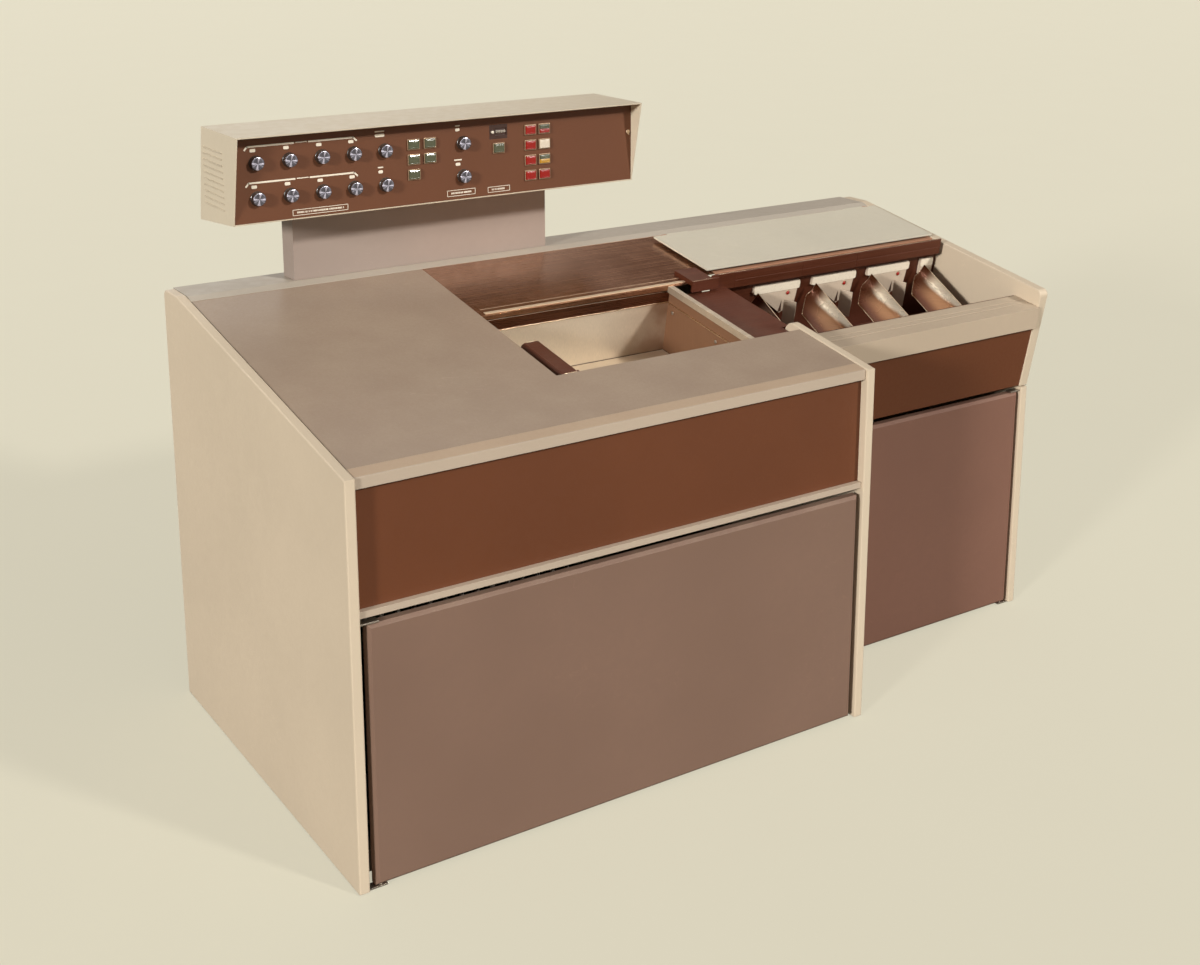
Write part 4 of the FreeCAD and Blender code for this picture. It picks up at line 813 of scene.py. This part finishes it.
class SORTER_OT_feed_plate(bpy.types.Operator):
    """Raises the ridges along the front of the feed deck plate."""
    bl_idname = "sorter.feed_plate"
    bl_label = "Feed plate ridges"

    def execute(self, context):
        boxed("feed_plate_ridges", "dark_steel", "ridge_steel", deck, 0.3,
              *(((541, 1092), (start, start + wide), (0.8, 1 + high))
                for start, wide, high in ((509, 7.5, 1.1), (518.5, 0.9, 0.3), (533, 0.8, 0.3))))
        return {"FINISHED"}


class SORTER_OT_channel(bpy.types.Operator):
    """Adds the bright lips and the cover strips of the card channel."""
    bl_idname = "sorter.channel"
    bl_label = "Card channel trim"

    def execute(self, context):
        boxed("channel_lip", "brown_metal", "bright_edge", deck, 0.1,
              ((1113, 1784.5), (487.2, 489.8), (17, 17.35)),
              ((1042, 1094), (484, 486), (12, 12.35)))
        boxed("channel_strips", "brown_metal", "brown_metal", deck, 0.25,
              *((run, (486.4, 487.2), heights)
                for run in ((1160, 1352), (1354, 1516), (1518, 1783))
                for heights in ((-20, -3), (-1.5, 15.5))))
        return {"FINISHED"}


def chute_point(middle, turn, along, radius=CHUTE_RADIUS - 0.8):
    """A point on a chute: turn round its pipe in degrees, along down its length."""
    x = radius * math.cos(math.radians(turn))
    y = radius * math.sin(math.radians(turn))
    tilt = math.pi / 2 + CHUTE_TILT
    v = y * math.cos(tilt) - along * math.sin(tilt)
    w = y * math.sin(tilt) + along * math.cos(tilt)
    return deck(middle + x, 487 + v, -45 + w)


def rim_start(turn):
    """Where the slanted rim cuts a chute at this turn, along its length."""
    x = CHUTE_RADIUS * math.cos(math.radians(turn))
    swing = CHUTE_RADIUS * math.sin(math.radians(45))
    high = RIM_SWING * (1 + math.sin(math.radians(45)) / 4)
    return max(0.0, high * (swing - x) / (swing + CHUTE_RADIUS / 4))


class SORTER_OT_pockets(bpy.types.Operator):
    """Rolls the chutes' rims, lines them with sheets of painted reflection, and fits the guides'
    painted shade triangles, their caps painted lighter and their lamps.
    """
    bl_idname = "sorter.pockets"
    bl_label = "Pocket fittings"

    def execute(self, context):
        radius = context.scene.sorter_trim.rim_radius * 1000
        shape = bmesh.new()
        for middle in CHUTE_MIDDLES:
            turns = [-CHUTE_SWEEP + CHUTE_SWEEP * k / 24 for k in range(25)]
            add_tube(shape, [chute_point(middle, t, rim_start(t)) for t in turns], radius)
            for turn in (0, -CHUTE_SWEEP):
                start = rim_start(turn) + 1
                add_tube(shape, [chute_point(middle, turn, start + (236 - start) * k / 8)
                                 for k in range(9)], radius * 0.7)
        finished(shape, "chute_rims", "steel", "bright_edge")
        self.paint_chute_reflections(32, 24)
        # The guide caps are a lighter copy of the guides' plastic: painted light on the bars, with
        # the sheets below in shade.
        shape = bmesh.new()
        for left, wide in [(edge, 131) for edge in GUIDE_EDGES] + [(1746, 38)]:
            outline = [(left + wide / 2 + a, -46.5 + b)
                       for a, b in rounded_outline(wide + 1, 19, 4)]
            add_prism(shape, outline, deck_front, 501.6, 503.4)
        finished(shape, "guide_caps", "guide_plastic", "cap_plastic")
        # A dark triangle on each guide: painted shade where the wing shades the sheet.
        shape = bmesh.new()
        for left in GUIDE_EDGES:
            wing_shade = [(left + 83.8, -80.5), (left + 76, -109.5), (left + 85.8, -109)]
            add_prism(shape, wing_shade, deck_front, 502.85, 503.2)
        finished(shape, "guide_notches", "guide_plastic", "dark_line")
        shape = bmesh.new()
        out = (deck(0, 0, 0) - deck(0, 1, 0)).normalized()
        dome = ((4.6, -0.5), (4.6, 0.6), (4.2, 1.6), (3.2, 2.6), (1.8, 3.2), (0.5, 3.4))
        collar = ((6.0, -0.4), (6.0, 0.4), (5.2, 0.7), (4.7, 0.5))
        for left in GUIDE_EDGES:
            centre = deck(left + 99, 503, -64.2)
            add_rings(shape, turned(centre, out, dome, 20), smooth=True)
            add_rings(shape, turned(centre, out, collar, 20), 1)
        finished(shape, "guide_lamps", "red_lens", "red_lens", "bezel_frame")
        return {"FINISHED"}

    @staticmethod
    def paint_chute_reflections(around, down):
        """Lays a thin sheet inside each chute to carry the painted reflections, its UV map running
        round it and down it.
        """
        shape = bmesh.new()
        layer = shape.loops.layers.uv.new("sheet")
        for middle in CHUTE_MIDDLES:
            points, maps = [], []
            for k in range(around + 1):
                turn = -CHUTE_SWEEP * k / around
                start = rim_start(turn) + 0.5
                runs = [start + (CHUTE_FOOT - start) * n / down for n in range(down + 1)]
                points.append([shape.verts.new(chute_point(middle, turn, run, CHUTE_RADIUS - 2.1))
                               for run in runs])
                maps.append([(k / around, run / CHUTE_FOOT) for run in runs])
            for k in range(around):
                for n in range(down):
                    corners = ((k, n), (k + 1, n), (k + 1, n + 1), (k, n + 1))
                    face = shape.faces.new([points[a][b] for a, b in corners])
                    face.smooth = True
                    for loop, (a, b) in zip(face.loops, corners):
                        loop[layer].uv = maps[a][b]
        finished(shape, "chute_liners", "steel", "chute_steel", turn=False)


# Console

def knob_places():
    """Every knob's name with the middle of its shaft."""
    for level, z in KNOB_ROWS:
        for column in range(5):
            yield "%s_knob_%d" % (level, column + 1), KNOB_LEFT + KNOB_PITCH * column, z
        yield "%s_rate_knob" % level, RATE_KNOB, z


def button_places():
    """Every button's name, the middle of its bezel and its lens colours from the top down."""
    for index in range(5):
        yield ("green_button_%d" % (index + 1), 465 + 37 * (index % 2),
               1176.5 - 31 * (index // 2), ("green_lens",))
    yield "start_button", 663, 1152, ("green_lens",)
    right = (("green_lens", "red_lens"), ("white_lens",), ("green_lens", "yellow_lens"),
             ("red_lens",))
    for row in range(4):
        yield "left_button_%d" % (row + 1), 740, 1184 - 32.5 * row, ("red_lens",)
        yield "right_button_%d" % (row + 1), 774.5, 1184 - 32.5 * row, right[row]


def knob_turn_map(shape, centre, out):
    """A UV map that runs round the knob, for its spun end."""
    layer = shape.loops.layers.uv.new("turn")
    side = TO_RIGHT
    up = out.cross(side)
    for face in shape.faces:
        middle = face.calc_center_median() - centre
        home = math.atan2(middle.dot(up), middle.dot(side))
        for loop in face.loops:
            arm = loop.vert.co - centre
            turn = math.atan2(arm.dot(up), arm.dot(side))
            while turn - home > math.pi:
                turn -= 2 * math.pi
            while home - turn > math.pi:
                turn += 2 * math.pi
            flat = arm - out * arm.dot(out)
            loop[layer].uv = (turn / (2 * math.pi), flat.length)


class SORTER_OT_knobs(bpy.types.Operator):
    """Turns the twelve knobs: a dark fluted grip with a spun metal end."""
    bl_idname = "sorter.knobs"
    bl_label = "Rotary knobs"

    def execute(self, context):
        trim = context.scene.sorter_trim
        steps = trim.flutes * 4
        skirt = ((3, -20), (3, 0.4), (14.2, 0.4), (14.6, 0.7), (14.6, 1.2), (14.2, 1.7))
        grip = ((13.5, 2.1), (13.5, 6.0), (13.5, 10.9), (13.3, 11.5))
        brim = ((12.9, 11.9), (12.85, 11.7), (12.8, 11.7))
        cap = ((12.7, 10.0), (12.7, 12.0), (12.4, 12.35), (10.4, 12.45), (7.0, 12.4),
               (4.0, 12.25), (2.2, 12.1), (1.2, 12.0), (0.35, 11.9))
        for name, x, z in knob_places():
            centre = bench(x, FACE, z)
            shape = bmesh.new()
            rings = turned(centre, TO_FRONT, skirt, steps)
            rings += turned(centre, TO_FRONT, grip, steps, trim.flutes, trim.flute_depth * 1000)
            rings += turned(centre, TO_FRONT, brim, steps)
            add_rings(shape, rings, [0] * 2 + [1] * (len(rings) - 3), smooth=True)
            add_rings(shape, turned(centre, TO_FRONT, cap, steps), 2, smooth=True)
            add_box(shape, (x - 0.5, x + 0.5), (FACE - 12.47, FACE - 12.0),
                    (z + 8.6, z + 11.6), bench, 0.05, 1)
            bmesh.ops.recalc_face_normals(shape, faces=shape.faces)
            knob_turn_map(shape, centre, TO_FRONT)
            finished(shape, "dial_" + name, "knob_metal", "hinge_steel", "knob_grip", "knob_cap",
                     body=name, replaces=name, turn=False)
        return {"FINISHED"}


class SORTER_OT_buttons(bpy.types.Operator):
    """Moulds the fourteen lens buttons and their bright frames."""
    bl_idname = "sorter.buttons"
    bl_label = "Push buttons"

    def execute(self, context):
        domed = ((0.05, -1.6), (0.05, -4.6), (0.35, -5.2), (1.0, -5.45), (1.9, -5.45),
                 (2.15, -5.15), (2.6, -5.1), (3.0, -5.4), (4.4, -5.48))
        outer = rounded_outline(28, 22, 0.8)
        inner = rounded_outline(24.5, 18.5, 0.5)
        frames = bmesh.new()
        for name, x, z, lenses in button_places():
            shape = bmesh.new()
            add_box(shape, (x - LENS_WIDE / 2, x + LENS_WIDE / 2), (FACE - 2.6, FACE + 12),
                    (z - LENS_TALL / 2, z + LENS_TALL / 2), bench, 0.4)
            part = LENS_TALL / len(lenses)
            gap = 0.35 if len(lenses) > 1 else 0
            for index in range(len(lenses)):
                middle = z + LENS_TALL / 2 - part * (index + 0.5)
                rings = []
                for inset, deep in domed:
                    shaped = rounded_outline(LENS_WIDE - 2 * inset, part - gap - 2 * inset,
                                             max(0.25, 1.1 - inset * 0.2))
                    rings.append([bench(x + a, FACE + deep, middle + b) for a, b in shaped])
                add_rings(shape, rings, index + 1)
            finished(shape, "lens_" + name, lenses[0], "counter_plastic", *lenses,
                     body=name, replaces=name)
            add_rings(frames, [
                [bench(x + a, FACE - deep, z + b) for a, b in ring]
                for ring, deep in ((inner, 2.4), (outer, 2.4), (outer, 2.72), (inner, 2.85))],
                hoop=True)
        finished(frames, "button_frames", "face_paint", "bezel_frame")
        return {"FINISHED"}


def ink_line(shape, points, width, thick):
    """A printed line through points (x, z) on the console's face."""
    for (x0, z0), (x1, z1) in zip(points, points[1:]):
        along = Vector((x1 - x0, z1 - z0)).normalized()
        side = Vector((-along.y, along.x)) * width / 2
        reach = along * width * 0.3
        outline = [(x0 - reach.x + side.x, z0 - reach.y + side.y),
                   (x1 + reach.x + side.x, z1 + reach.y + side.y),
                   (x1 + reach.x - side.x, z1 + reach.y - side.y),
                   (x0 - reach.x - side.x, z0 - reach.y - side.y)]
        add_prism(shape, outline, bench_front, FACE + PRINT_SUNK, FACE - thick)


def ink_block(shape, x, z, wide, tall, thick):
    """A small solid label with rounded ends."""
    add_prism(shape, [(x + a, z + b) for a, b in rounded_outline(wide, tall, tall * 0.35)],
              bench_front, FACE + PRINT_SUNK, FACE - thick)


def ink_words(shape, x, z, wide, tall, thick, rng):
    """A row of small blocks in place of lettering."""
    pitch = 2.6
    at = x - wide / 2
    while at < x + wide / 2 - 0.8:
        block = min(pitch * rng.choice((0.6, 0.7, 0.8)), x + wide / 2 - at)
        add_box(shape, (at, at + block), (FACE - thick, FACE + PRINT_SUNK),
                (z - tall / 2, z + tall / 2))
        at += pitch * (1.6 if rng.random() < 0.14 else 1.0)


class SORTER_OT_console_print(bpy.types.Operator):
    """Prints the brackets, the bars and the framed blocks on the face, and fits its catch."""
    bl_idname = "sorter.console_print"
    bl_label = "Console print"

    def execute(self, context):
        thick = context.scene.sorter_trim.print_height * 1000
        rng = random.Random(7)
        shape = bmesh.new()
        for drop in (0, PRINT_DROP):
            z = 1202 - drop
            ink_line(shape, [(106.5, z - 6.5), (112, z), (207, z)], 3.4, thick)
            ink_line(shape, [(239, z), (333, z), (340, z - 6.5)], 3.4, thick)
            ink_line(shape, [(211.5, z + 0.4), (235, z + 0.4)], 1.9, thick)
            for column in range(4):
                ink_block(shape, 123 + 68.4 * column, 1194 - drop, 11.5, 6.4, thick)
        for x, z, wide, tall in (
                (391, 1209, 21, 2.8), (391, 1201, 21, 6.6), (391, 1136, 12, 2.6),
                (391, 1127, 10, 6.0), (567, 1206, 11, 2.8), (567, 1198, 10, 6.0),
                (567, 1135, 18, 2.8), (567, 1126, 11, 6.0)):
            ink_block(shape, x, z, wide, tall, thick)
        for left, right, low, high in ((200, 317, 1058, 1069), (541, 606, 1060, 1072),
                                       (637, 689, 1059, 1070)):
            corners = [(left, low), (right, low), (right, high), (left, high), (left, low)]
            ink_line(shape, corners, 1.1, thick)
            ink_words(shape, (left + right) / 2, (low + high) / 2, right - left - 18, 3.6, thick,
                      rng)
        finished(shape, "console_print", "face_paint", "print_ink")

        shape = bmesh.new()
        stud = ((4.6, -0.3), (4.6, 1.6), (4.0, 2.3), (1.2, 2.5), (0.4, 2.2))
        add_rings(shape, turned(bench(990, FACE, 1159), TO_FRONT, stud, 24))
        add_prism(shape, [(984.6, 1157.6), (991, 1152.4), (992.4, 1154), (986.4, 1160.6)],
                  bench_front, FACE - 2.2, FACE - 3.4)
        finished(shape, "console_catch", "knob_metal", "bright_edge")
        return {"FINISHED"}


class SORTER_OT_counter(bpy.types.Operator):
    """Fits the counter's wheels, the digits on them and the white reset knob."""
    bl_idname = "sorter.counter"
    bl_label = "Counter"

    def execute(self, context):
        shape = bmesh.new()
        wheel = ((7.6, 0), (8.0, 0.2), (8.0, 3.4), (7.6, 3.6))
        for index in range(6):
            centre = bench(657.6 + 4.0 * index, FACE + 9.2, COUNTER_Z)
            add_rings(shape, turned(centre, TO_RIGHT, wheel, 32))
        add_box(shape, (656.4, 682.2), (FACE + 1.9, FACE + 2.4), (1176, 1196))
        finished(shape, "counter_wheels", "counter_plastic")
        shape = bmesh.new()
        turns = [2 * math.pi * k / 16 for k in range(16)]
        for index in range(6):
            x = 659.4 + 4.0 * index
            add_rings(shape, [
                [bench(x + wide * math.cos(turn), FACE + deep, COUNTER_Z + tall * math.sin(turn))
                 for turn in turns]
                for wide, tall, deep in ((1.25, 2.6, 1.0), (1.25, 2.6, 0.85), (0.6, 1.9, 0.85),
                                         (0.6, 1.9, 1.0))], hoop=True)
        finished(shape, "counter_digits", "white_lens", "print_ink")
        shape = bmesh.new()
        centre = bench(649, FACE, COUNTER_Z)
        rings = turned(centre, TO_FRONT, ((2.7, -8.4), (2.9, -8.0), (2.9, 0.3)), 48)
        rings += turned(centre, TO_FRONT, ((3.15, 0.9), (3.15, 3.2)), 48, 12, 0.3)
        rings += turned(centre, TO_FRONT, ((2.8, 3.8), (1.2, 4.0), (0.3, 4.0)), 48)
        add_rings(shape, rings, smooth=True)
        finished(shape, "counter_reset_knob", "reset_plastic", body="counter_reset",
                 replaces="counter_reset")
        return {"FINISHED"}


# Repeated trim

def louvre_tree():
    """A column of pressed lips: name the count, the pitch and the size of one lip."""
    tree = Tree("louvre_lips", {"Count": 10, "Pitch": 0.0125, "Length": 0.1, "Reach": 0.001,
                                "Height": 0.002})
    given = tree.given
    column = tree.out("GeometryNodeMeshLine", "Mesh", {
        "Count": given["Count"],
        "Offset": tree.out("ShaderNodeCombineXYZ", 0, {"Z": given["Pitch"]})})
    half = tree.out("ShaderNodeMath", 0, {0: given["Length"], 1: 0.5}, operation="MULTIPLY")
    back = tree.out("ShaderNodeMath", 0, {0: half, 1: -1.0}, operation="MULTIPLY")
    line = tree.out("GeometryNodeCurvePrimitiveLine", "Curve", {
        "Start": tree.out("ShaderNodeCombineXYZ", 0, {"Y": back}),
        "End": tree.out("ShaderNodeCombineXYZ", 0, {"Y": half})})
    circle = tree.out("GeometryNodeCurvePrimitiveCircle", "Curve", {
        "Resolution": 12, "Radius": 1.0})
    size = tree.out("ShaderNodeCombineXYZ", 0, {
        "X": given["Height"], "Y": given["Reach"], "Z": 1.0})
    section = tree.out("GeometryNodeTransform", "Geometry", {"Geometry": circle, "Scale": size})
    lip = tree.out("GeometryNodeCurveToMesh", "Mesh", {
        "Curve": line, "Profile Curve": section, "Fill Caps": True})
    return tree.end(column, lip)


def screw_tree():
    """Screw heads on a cloud of points, each turned along the point's facing attribute."""
    tree = Tree("screw_heads", {"Points": "Geometry", "Head": "Object", "Size": 1.0})
    head = tree.out("GeometryNodeObjectInfo", "Geometry", {"Object": tree.given["Head"]})
    facing = tree.out("GeometryNodeInputNamedAttribute", "Attribute", {"Name": "facing"},
                      data_type="FLOAT_VECTOR")
    turn = tree.out("FunctionNodeAlignRotationToVector", 0, {"Vector": facing}, axis="Z")
    spin = tree.out("FunctionNodeRandomValue", 0, {
        "Min": (0, 0, 0), "Max": (0, 0, 3.1), "Seed": 5}, data_type="FLOAT_VECTOR")
    twist = tree.out("FunctionNodeEulerToRotation", 0, {0: spin})
    both = tree.out("FunctionNodeRotateRotation", 0, {"Rotation": turn, "Rotate By": twist},
                    rotation_space="LOCAL")
    return tree.end(tree.given["Points"], head, Rotation=both, Scale=tree.given["Size"])


def board_tree():
    """Small parts in rows on a board, of uneven size by a fixed seed."""
    tree = Tree("board_parts", {"Rows": 6, "Columns": 5, "Depth": 0.28, "Height": 0.3,
                                "Part": 0.016, "Seed": 1})
    given = tree.given
    grid = tree.out("GeometryNodeMeshGrid", "Mesh", {
        "Size X": given["Depth"], "Size Y": given["Height"], "Vertices X": given["Columns"],
        "Vertices Y": given["Rows"]})
    chip = tree.out("GeometryNodeMeshCube", "Mesh", {"Size": (1.4, 0.6, 0.3)})
    uneven = tree.out("FunctionNodeRandomValue", 0, {
        "Min": (0.45, 0.5, 0.6), "Max": (1.1, 1.2, 1.2), "Seed": given["Seed"]},
        data_type="FLOAT_VECTOR")
    size = tree.out("ShaderNodeVectorMath", 0, {0: uneven, "Scale": given["Part"]},
                    operation="SCALE")
    return tree.end(grid, chip, Scale=size)


class SORTER_OT_louvres(bpy.types.Operator):
    """Presses the lips over the console's and the rear panels' air slots."""
    bl_idname = "sorter.louvres"
    bl_label = "Louvre lips"

    def execute(self, context):
        trim = context.scene.sorter_trim
        tree = louvre_tree()
        lips = tree.grow("console_paint", {
            "Count": 10, "Pitch": 0.0125, "Length": 0.112, "Reach": trim.louvre_reach,
            "Height": trim.louvre_height})
        shape = bmesh.new()
        for x in (78.4, 1000.1):
            paste(shape, lips, Matrix.Translation(bench(x, 754, 1072 + 1.9)))
        finished(shape, "console_louvre_lips", "console_paint")
        lips = tree.grow("frame_paint", {
            "Count": 9, "Pitch": 0.018, "Length": 0.226, "Reach": 0.0009, "Height": 0.003})
        shape = bmesh.new()
        turn = Matrix.Rotation(math.pi / 2, 4, "Z")
        lowest_slot = 873.5 - 120 - 18 * 9
        for left, right in REAR_BAYS:
            middle = bench((left + right) / 2, 861.4, lowest_slot + 8.2)
            paste(shape, lips, Matrix.Translation(middle) @ turn)
        finished(shape, "rear_louvre_lips", "frame_paint")
        return {"FINISHED"}


def screw_head(radius, height):
    """A slotted cheese head round the origin, its underside on the XY plane."""
    shape = bmesh.new()
    base = height * 0.5
    add_rings(shape, turned(Vector((0, 0, 0)), UP, ((radius, -0.3), (radius, base)), 20))
    slot = radius * 0.16
    first = math.asin(slot / radius)
    turns = [first + (math.pi - 2 * first) * k / 10 for k in range(11)]
    for side in (1, -1):
        arc = [(radius * math.cos(turn), side * radius * math.sin(turn)) for turn in turns]
        inner = [(a * 0.86, side * slot + (b - side * slot) * 0.86) for a, b in arc]
        add_rings(shape, [[Vector((a, b, h)) / 1000 for a, b in outline]
                          for outline, h in ((arc, base), (arc, height * 0.8), (inner, height))])
    bmesh.ops.recalc_face_normals(shape, faces=shape.faces)
    return as_object("screw_head", shape)


class SORTER_OT_screws(bpy.types.Operator):
    """Sets the slotted screws of the well, the rear panels, the console and the ledge."""
    bl_idname = "sorter.screws"
    bl_label = "Screws"

    def execute(self, context):
        trim = context.scene.sorter_trim
        places = [(deck(1000, v, -59), -TO_RIGHT) for v in (490, 331)]
        for left, right in REAR_BAYS:
            for x in (left + 16, (left + right) / 2, right - 20):
                for z in (70, 470, 845) if x < 1700 else (845,):
                    places.append((bench(x, 862, z), TO_BACK))
        places.append((bench(1781, 862, 560), TO_BACK))
        sloped = Vector((0, 1, 0.35)).normalized()
        places += [(bench(x, 823.6, 1140), sloped) for x in (100, 360, 718, 978)]
        places += [(bench(x, 843, 906), TO_BACK) for x in (262, 430, 674, 842)]
        points = bpy.data.meshes.new("screw_places")
        points.from_pydata([place for place, _ in places], [], [])
        facing = points.attributes.new("facing", "FLOAT_VECTOR", "POINT")
        for index, (_, out) in enumerate(places):
            facing.data[index].vector = out
        head = screw_head(trim.screw_radius * 1000, trim.screw_height * 1000)
        mesh = screw_tree().grow("hinge_steel", {"Head": head, "Size": 1.0}, points)
        bpy.data.objects.remove(head)
        shape = bmesh.new()
        paste(shape, mesh, Matrix())
        finished(shape, "cabinet_screws", "hinge_steel")
        return {"FINISHED"}


class SORTER_OT_inside(bpy.types.Operator):
    """Fits out what shows behind the open doors: door pans, boards, supply and motor."""
    bl_idname = "sorter.inside"
    bl_label = "Inside the doors"

    def execute(self, context):
        rim = 16
        for name, body, left, right, low, high, back in (
                ("main_door_pan", "main_door", 90, 1090, 40, 470, 21.5),
                ("right_door_pan", "right_door", 1175, 1760, 40, 505, 239.5)):
            edge, rib = (back - 0.2, back + 4.5), (back - 0.2, back + 3)
            upright = (low + rim, high - rim)
            ribs = [left + (right - left) * share for share in (1 / 3, 2 / 3)]
            boxed(name, "door_paint", "door_paint", bench, 0.8,
                  ((left, right), edge, (low, low + rim)),
                  ((left, right), edge, (high - rim, high)),
                  ((left, left + rim), edge, upright),
                  ((right - rim, right), edge, upright),
                  *(((x - 14, x + 14), rib, upright) for x in ribs), body=body)
        tree = board_tree()
        shape = bmesh.new()
        lean = Matrix.Rotation(math.pi / 2, 4, "Y") @ Matrix.Rotation(math.pi / 2, 4, "Z")
        for index, board in enumerate(BOARDS):
            parts = tree.grow("chip_black", {"Seed": index + 3, "Rows": 8, "Columns": 6,
                                             "Depth": 0.27, "Height": 0.29, "Part": 0.014})
            paste(shape, parts, Matrix.Translation(bench(board + 2.4 + 1.2, 490, 205)) @ lean)
        finished(shape, "board_parts", "board_material", "chip_black")
        boxed("board_handles", "reset_plastic", "reset_plastic", bench, 0.6,
              *(((x + 1.2 - 3.4, x + 1.2 + 3.4), (328, 338), (z - 46, z + 46))
                for x in BOARDS for z in (120, 300)))
        shape = bmesh.new()
        for row in range(9):
            add_box(shape, (785, 995), (318.6, 320.2), (60 + 13 * row, 64 + 13 * row), soft=0.4)
        for column in range(10):
            add_box(shape, (800 + 18 * column, 812 + 18 * column), (313, 320.2), (196, 212),
                    soft=0.6, finish=1)
        finished(shape, "supply_front", "board_material", "dark_line", "chip_black")
        shape = bmesh.new()
        for start in range(14, 146, 12):
            rib = ((61.5, start), (63.8, start + 0.6), (63.8, start + 3.0), (61.5, start + 3.6))
            add_rings(shape, turned(bench(1340, 470, 114), TO_RIGHT, rib, 48))
        finished(shape, "motor_ribs", "motor_paint")
        return {"FINISHED"}


# Studio

class SORTER_OT_studio(bpy.types.Operator):
    """Lays the pale floor and sets the soft lights and the camera."""
    bl_idname = "sorter.studio"
    bl_label = "Studio"

    def execute(self, context):
        studio = context.scene.sorter_studio
        self.lay_floor(studio)
        self.light(context.scene, studio)
        lens = bpy.data.cameras.new("camera")
        lens.sensor_width = 36
        lens.lens = 48.84
        lens.shift_y = -0.18
        lens.clip_end = 200
        camera = linked("camera", lens)
        camera.location = (-1.9127, -2.7288, 1.7010)
        camera.rotation_euler = (math.pi / 2 - 0.2338, 0, -0.5759)
        context.scene.camera = camera
        context.scene.view_settings.view_transform = "Standard"
        return {"FINISHED"}

    @staticmethod
    def lay_floor(studio):
        shape = bmesh.new()
        bmesh.ops.create_circle(shape, cap_ends=True, radius=studio.floor_radius, segments=96)
        finish = Finish("studio_floor", Roughness=0.9, Emission_Strength=1.0)
        cloud = finish.use(paint_skin, Mottle_Scale=6.0)["Cloud"]
        base = shade(studio.floor_tone, 1 - studio.floor_glow)
        finish.feed("Base Color", finish.mix(cloud, shade(base, 0.99), shade(base, 1.01)))
        seen = finish.out("ShaderNodeLightPath", "Is Camera Ray")
        glow = shade(studio.floor_tone, studio.floor_glow)
        finish.feed("Emission Color", finish.mix(seen, (0.0, 0.0, 0.0, 1.0), glow))
        floor = as_object("studio_floor", shape)
        floor.data.materials.append(finish.material)

    @staticmethod
    def light(scene, studio):
        """A plain surround whose mirror image darkens at the back right, and three soft suns."""
        world = bpy.data.worlds.new("studio")
        scene.world = world
        world.use_nodes = True
        sheet = Sheet(world.node_tree)
        side = sheet.split(sheet.places("Generated"))
        dark = sheet.times(sheet.times(sheet.between(side["X"], 0.41, 0.56),
                                       sheet.between(side["Y"], 0.05, 0.3)),
                           sheet.between(side["Z"], 0.85, 0.68))
        ray = sheet.out("ShaderNodeLightPath", "Is Glossy Ray")
        mirror = sheet.mix(dark, studio.sky_tone, studio.shade_tone)
        background = world.node_tree.nodes["Background"].inputs
        sheet.put(sheet.mix(ray, studio.sky_tone, mirror), background["Color"])
        sheet.put(sheet.between(ray, 0.0, 1.0, studio.sky_strength, studio.mirror_strength),
                  background["Strength"])
        for name, rise, turn, strength, spread in (
                ("key_light", 27, 28, studio.key_strength, 5),
                ("side_light", 14, -68, studio.side_strength, 7),
                ("top_light", 80, 20, studio.top_strength, 75)):
            light = bpy.data.lights.new(name, "SUN")
            light.energy = strength
            light.angle = math.radians(spread)
            light.color = (1.0, 0.975, 0.92)
            lamp = linked(name, light)
            lamp.rotation_euler = (math.radians(90 - rise), 0, math.radians(turn))


class SORTER_PT_panel(bpy.types.Panel):
    """Lists the steps that dress the sorter."""
    bl_idname = "SORTER_PT_panel"
    bl_label = "Card Sorter"
    bl_space_type = "VIEW_3D"
    bl_region_type = "UI"
    bl_category = "Card Sorter"

    def draw(self, context):
        for step in STEPS:
            self.layout.operator(step.bl_idname)
        for name in GROUP_CLASSES:
            group = getattr(context.scene, name)
            box = self.layout.box()
            for setting in group.__annotations__:
                box.prop(group, setting)


STEPS = (
    SORTER_OT_finishes, SORTER_OT_deck_top_painted_shade, SORTER_OT_well, SORTER_OT_feed_plate,
    SORTER_OT_channel, SORTER_OT_pockets, SORTER_OT_knobs, SORTER_OT_buttons,
    SORTER_OT_console_print, SORTER_OT_counter, SORTER_OT_louvres, SORTER_OT_screws,
    SORTER_OT_inside, SORTER_OT_studio,
)
GROUP_CLASSES = {
    "sorter_finish": SorterFinish,
    "sorter_trim": SorterTrim,
    "sorter_studio": SorterStudio,
}


def register():
    for name, kind in GROUP_CLASSES.items():
        bpy.utils.register_class(kind)
        setattr(bpy.types.Scene, name, bpy.props.PointerProperty(type=kind))
    for kind in STEPS + (SORTER_PT_panel,):
        bpy.utils.register_class(kind)


def unregister():
    for kind in reversed(STEPS + (SORTER_PT_panel,)):
        bpy.utils.unregister_class(kind)
    for name, kind in reversed(GROUP_CLASSES.items()):
        delattr(bpy.types.Scene, name)
        bpy.utils.unregister_class(kind)


def main():
    register()
    bpy.ops.sorter.finishes()
    bpy.ops.sorter.deck_band()
    bpy.ops.sorter.well()
    bpy.ops.sorter.feed_plate()
    bpy.ops.sorter.channel()
    bpy.ops.sorter.pockets()
    bpy.ops.sorter.knobs()
    bpy.ops.sorter.buttons()
    bpy.ops.sorter.console_print()
    bpy.ops.sorter.counter()
    bpy.ops.sorter.louvres()
    bpy.ops.sorter.screws()
    bpy.ops.sorter.inside()
    bpy.ops.sorter.studio()


if __name__ == "__main__":
    main()
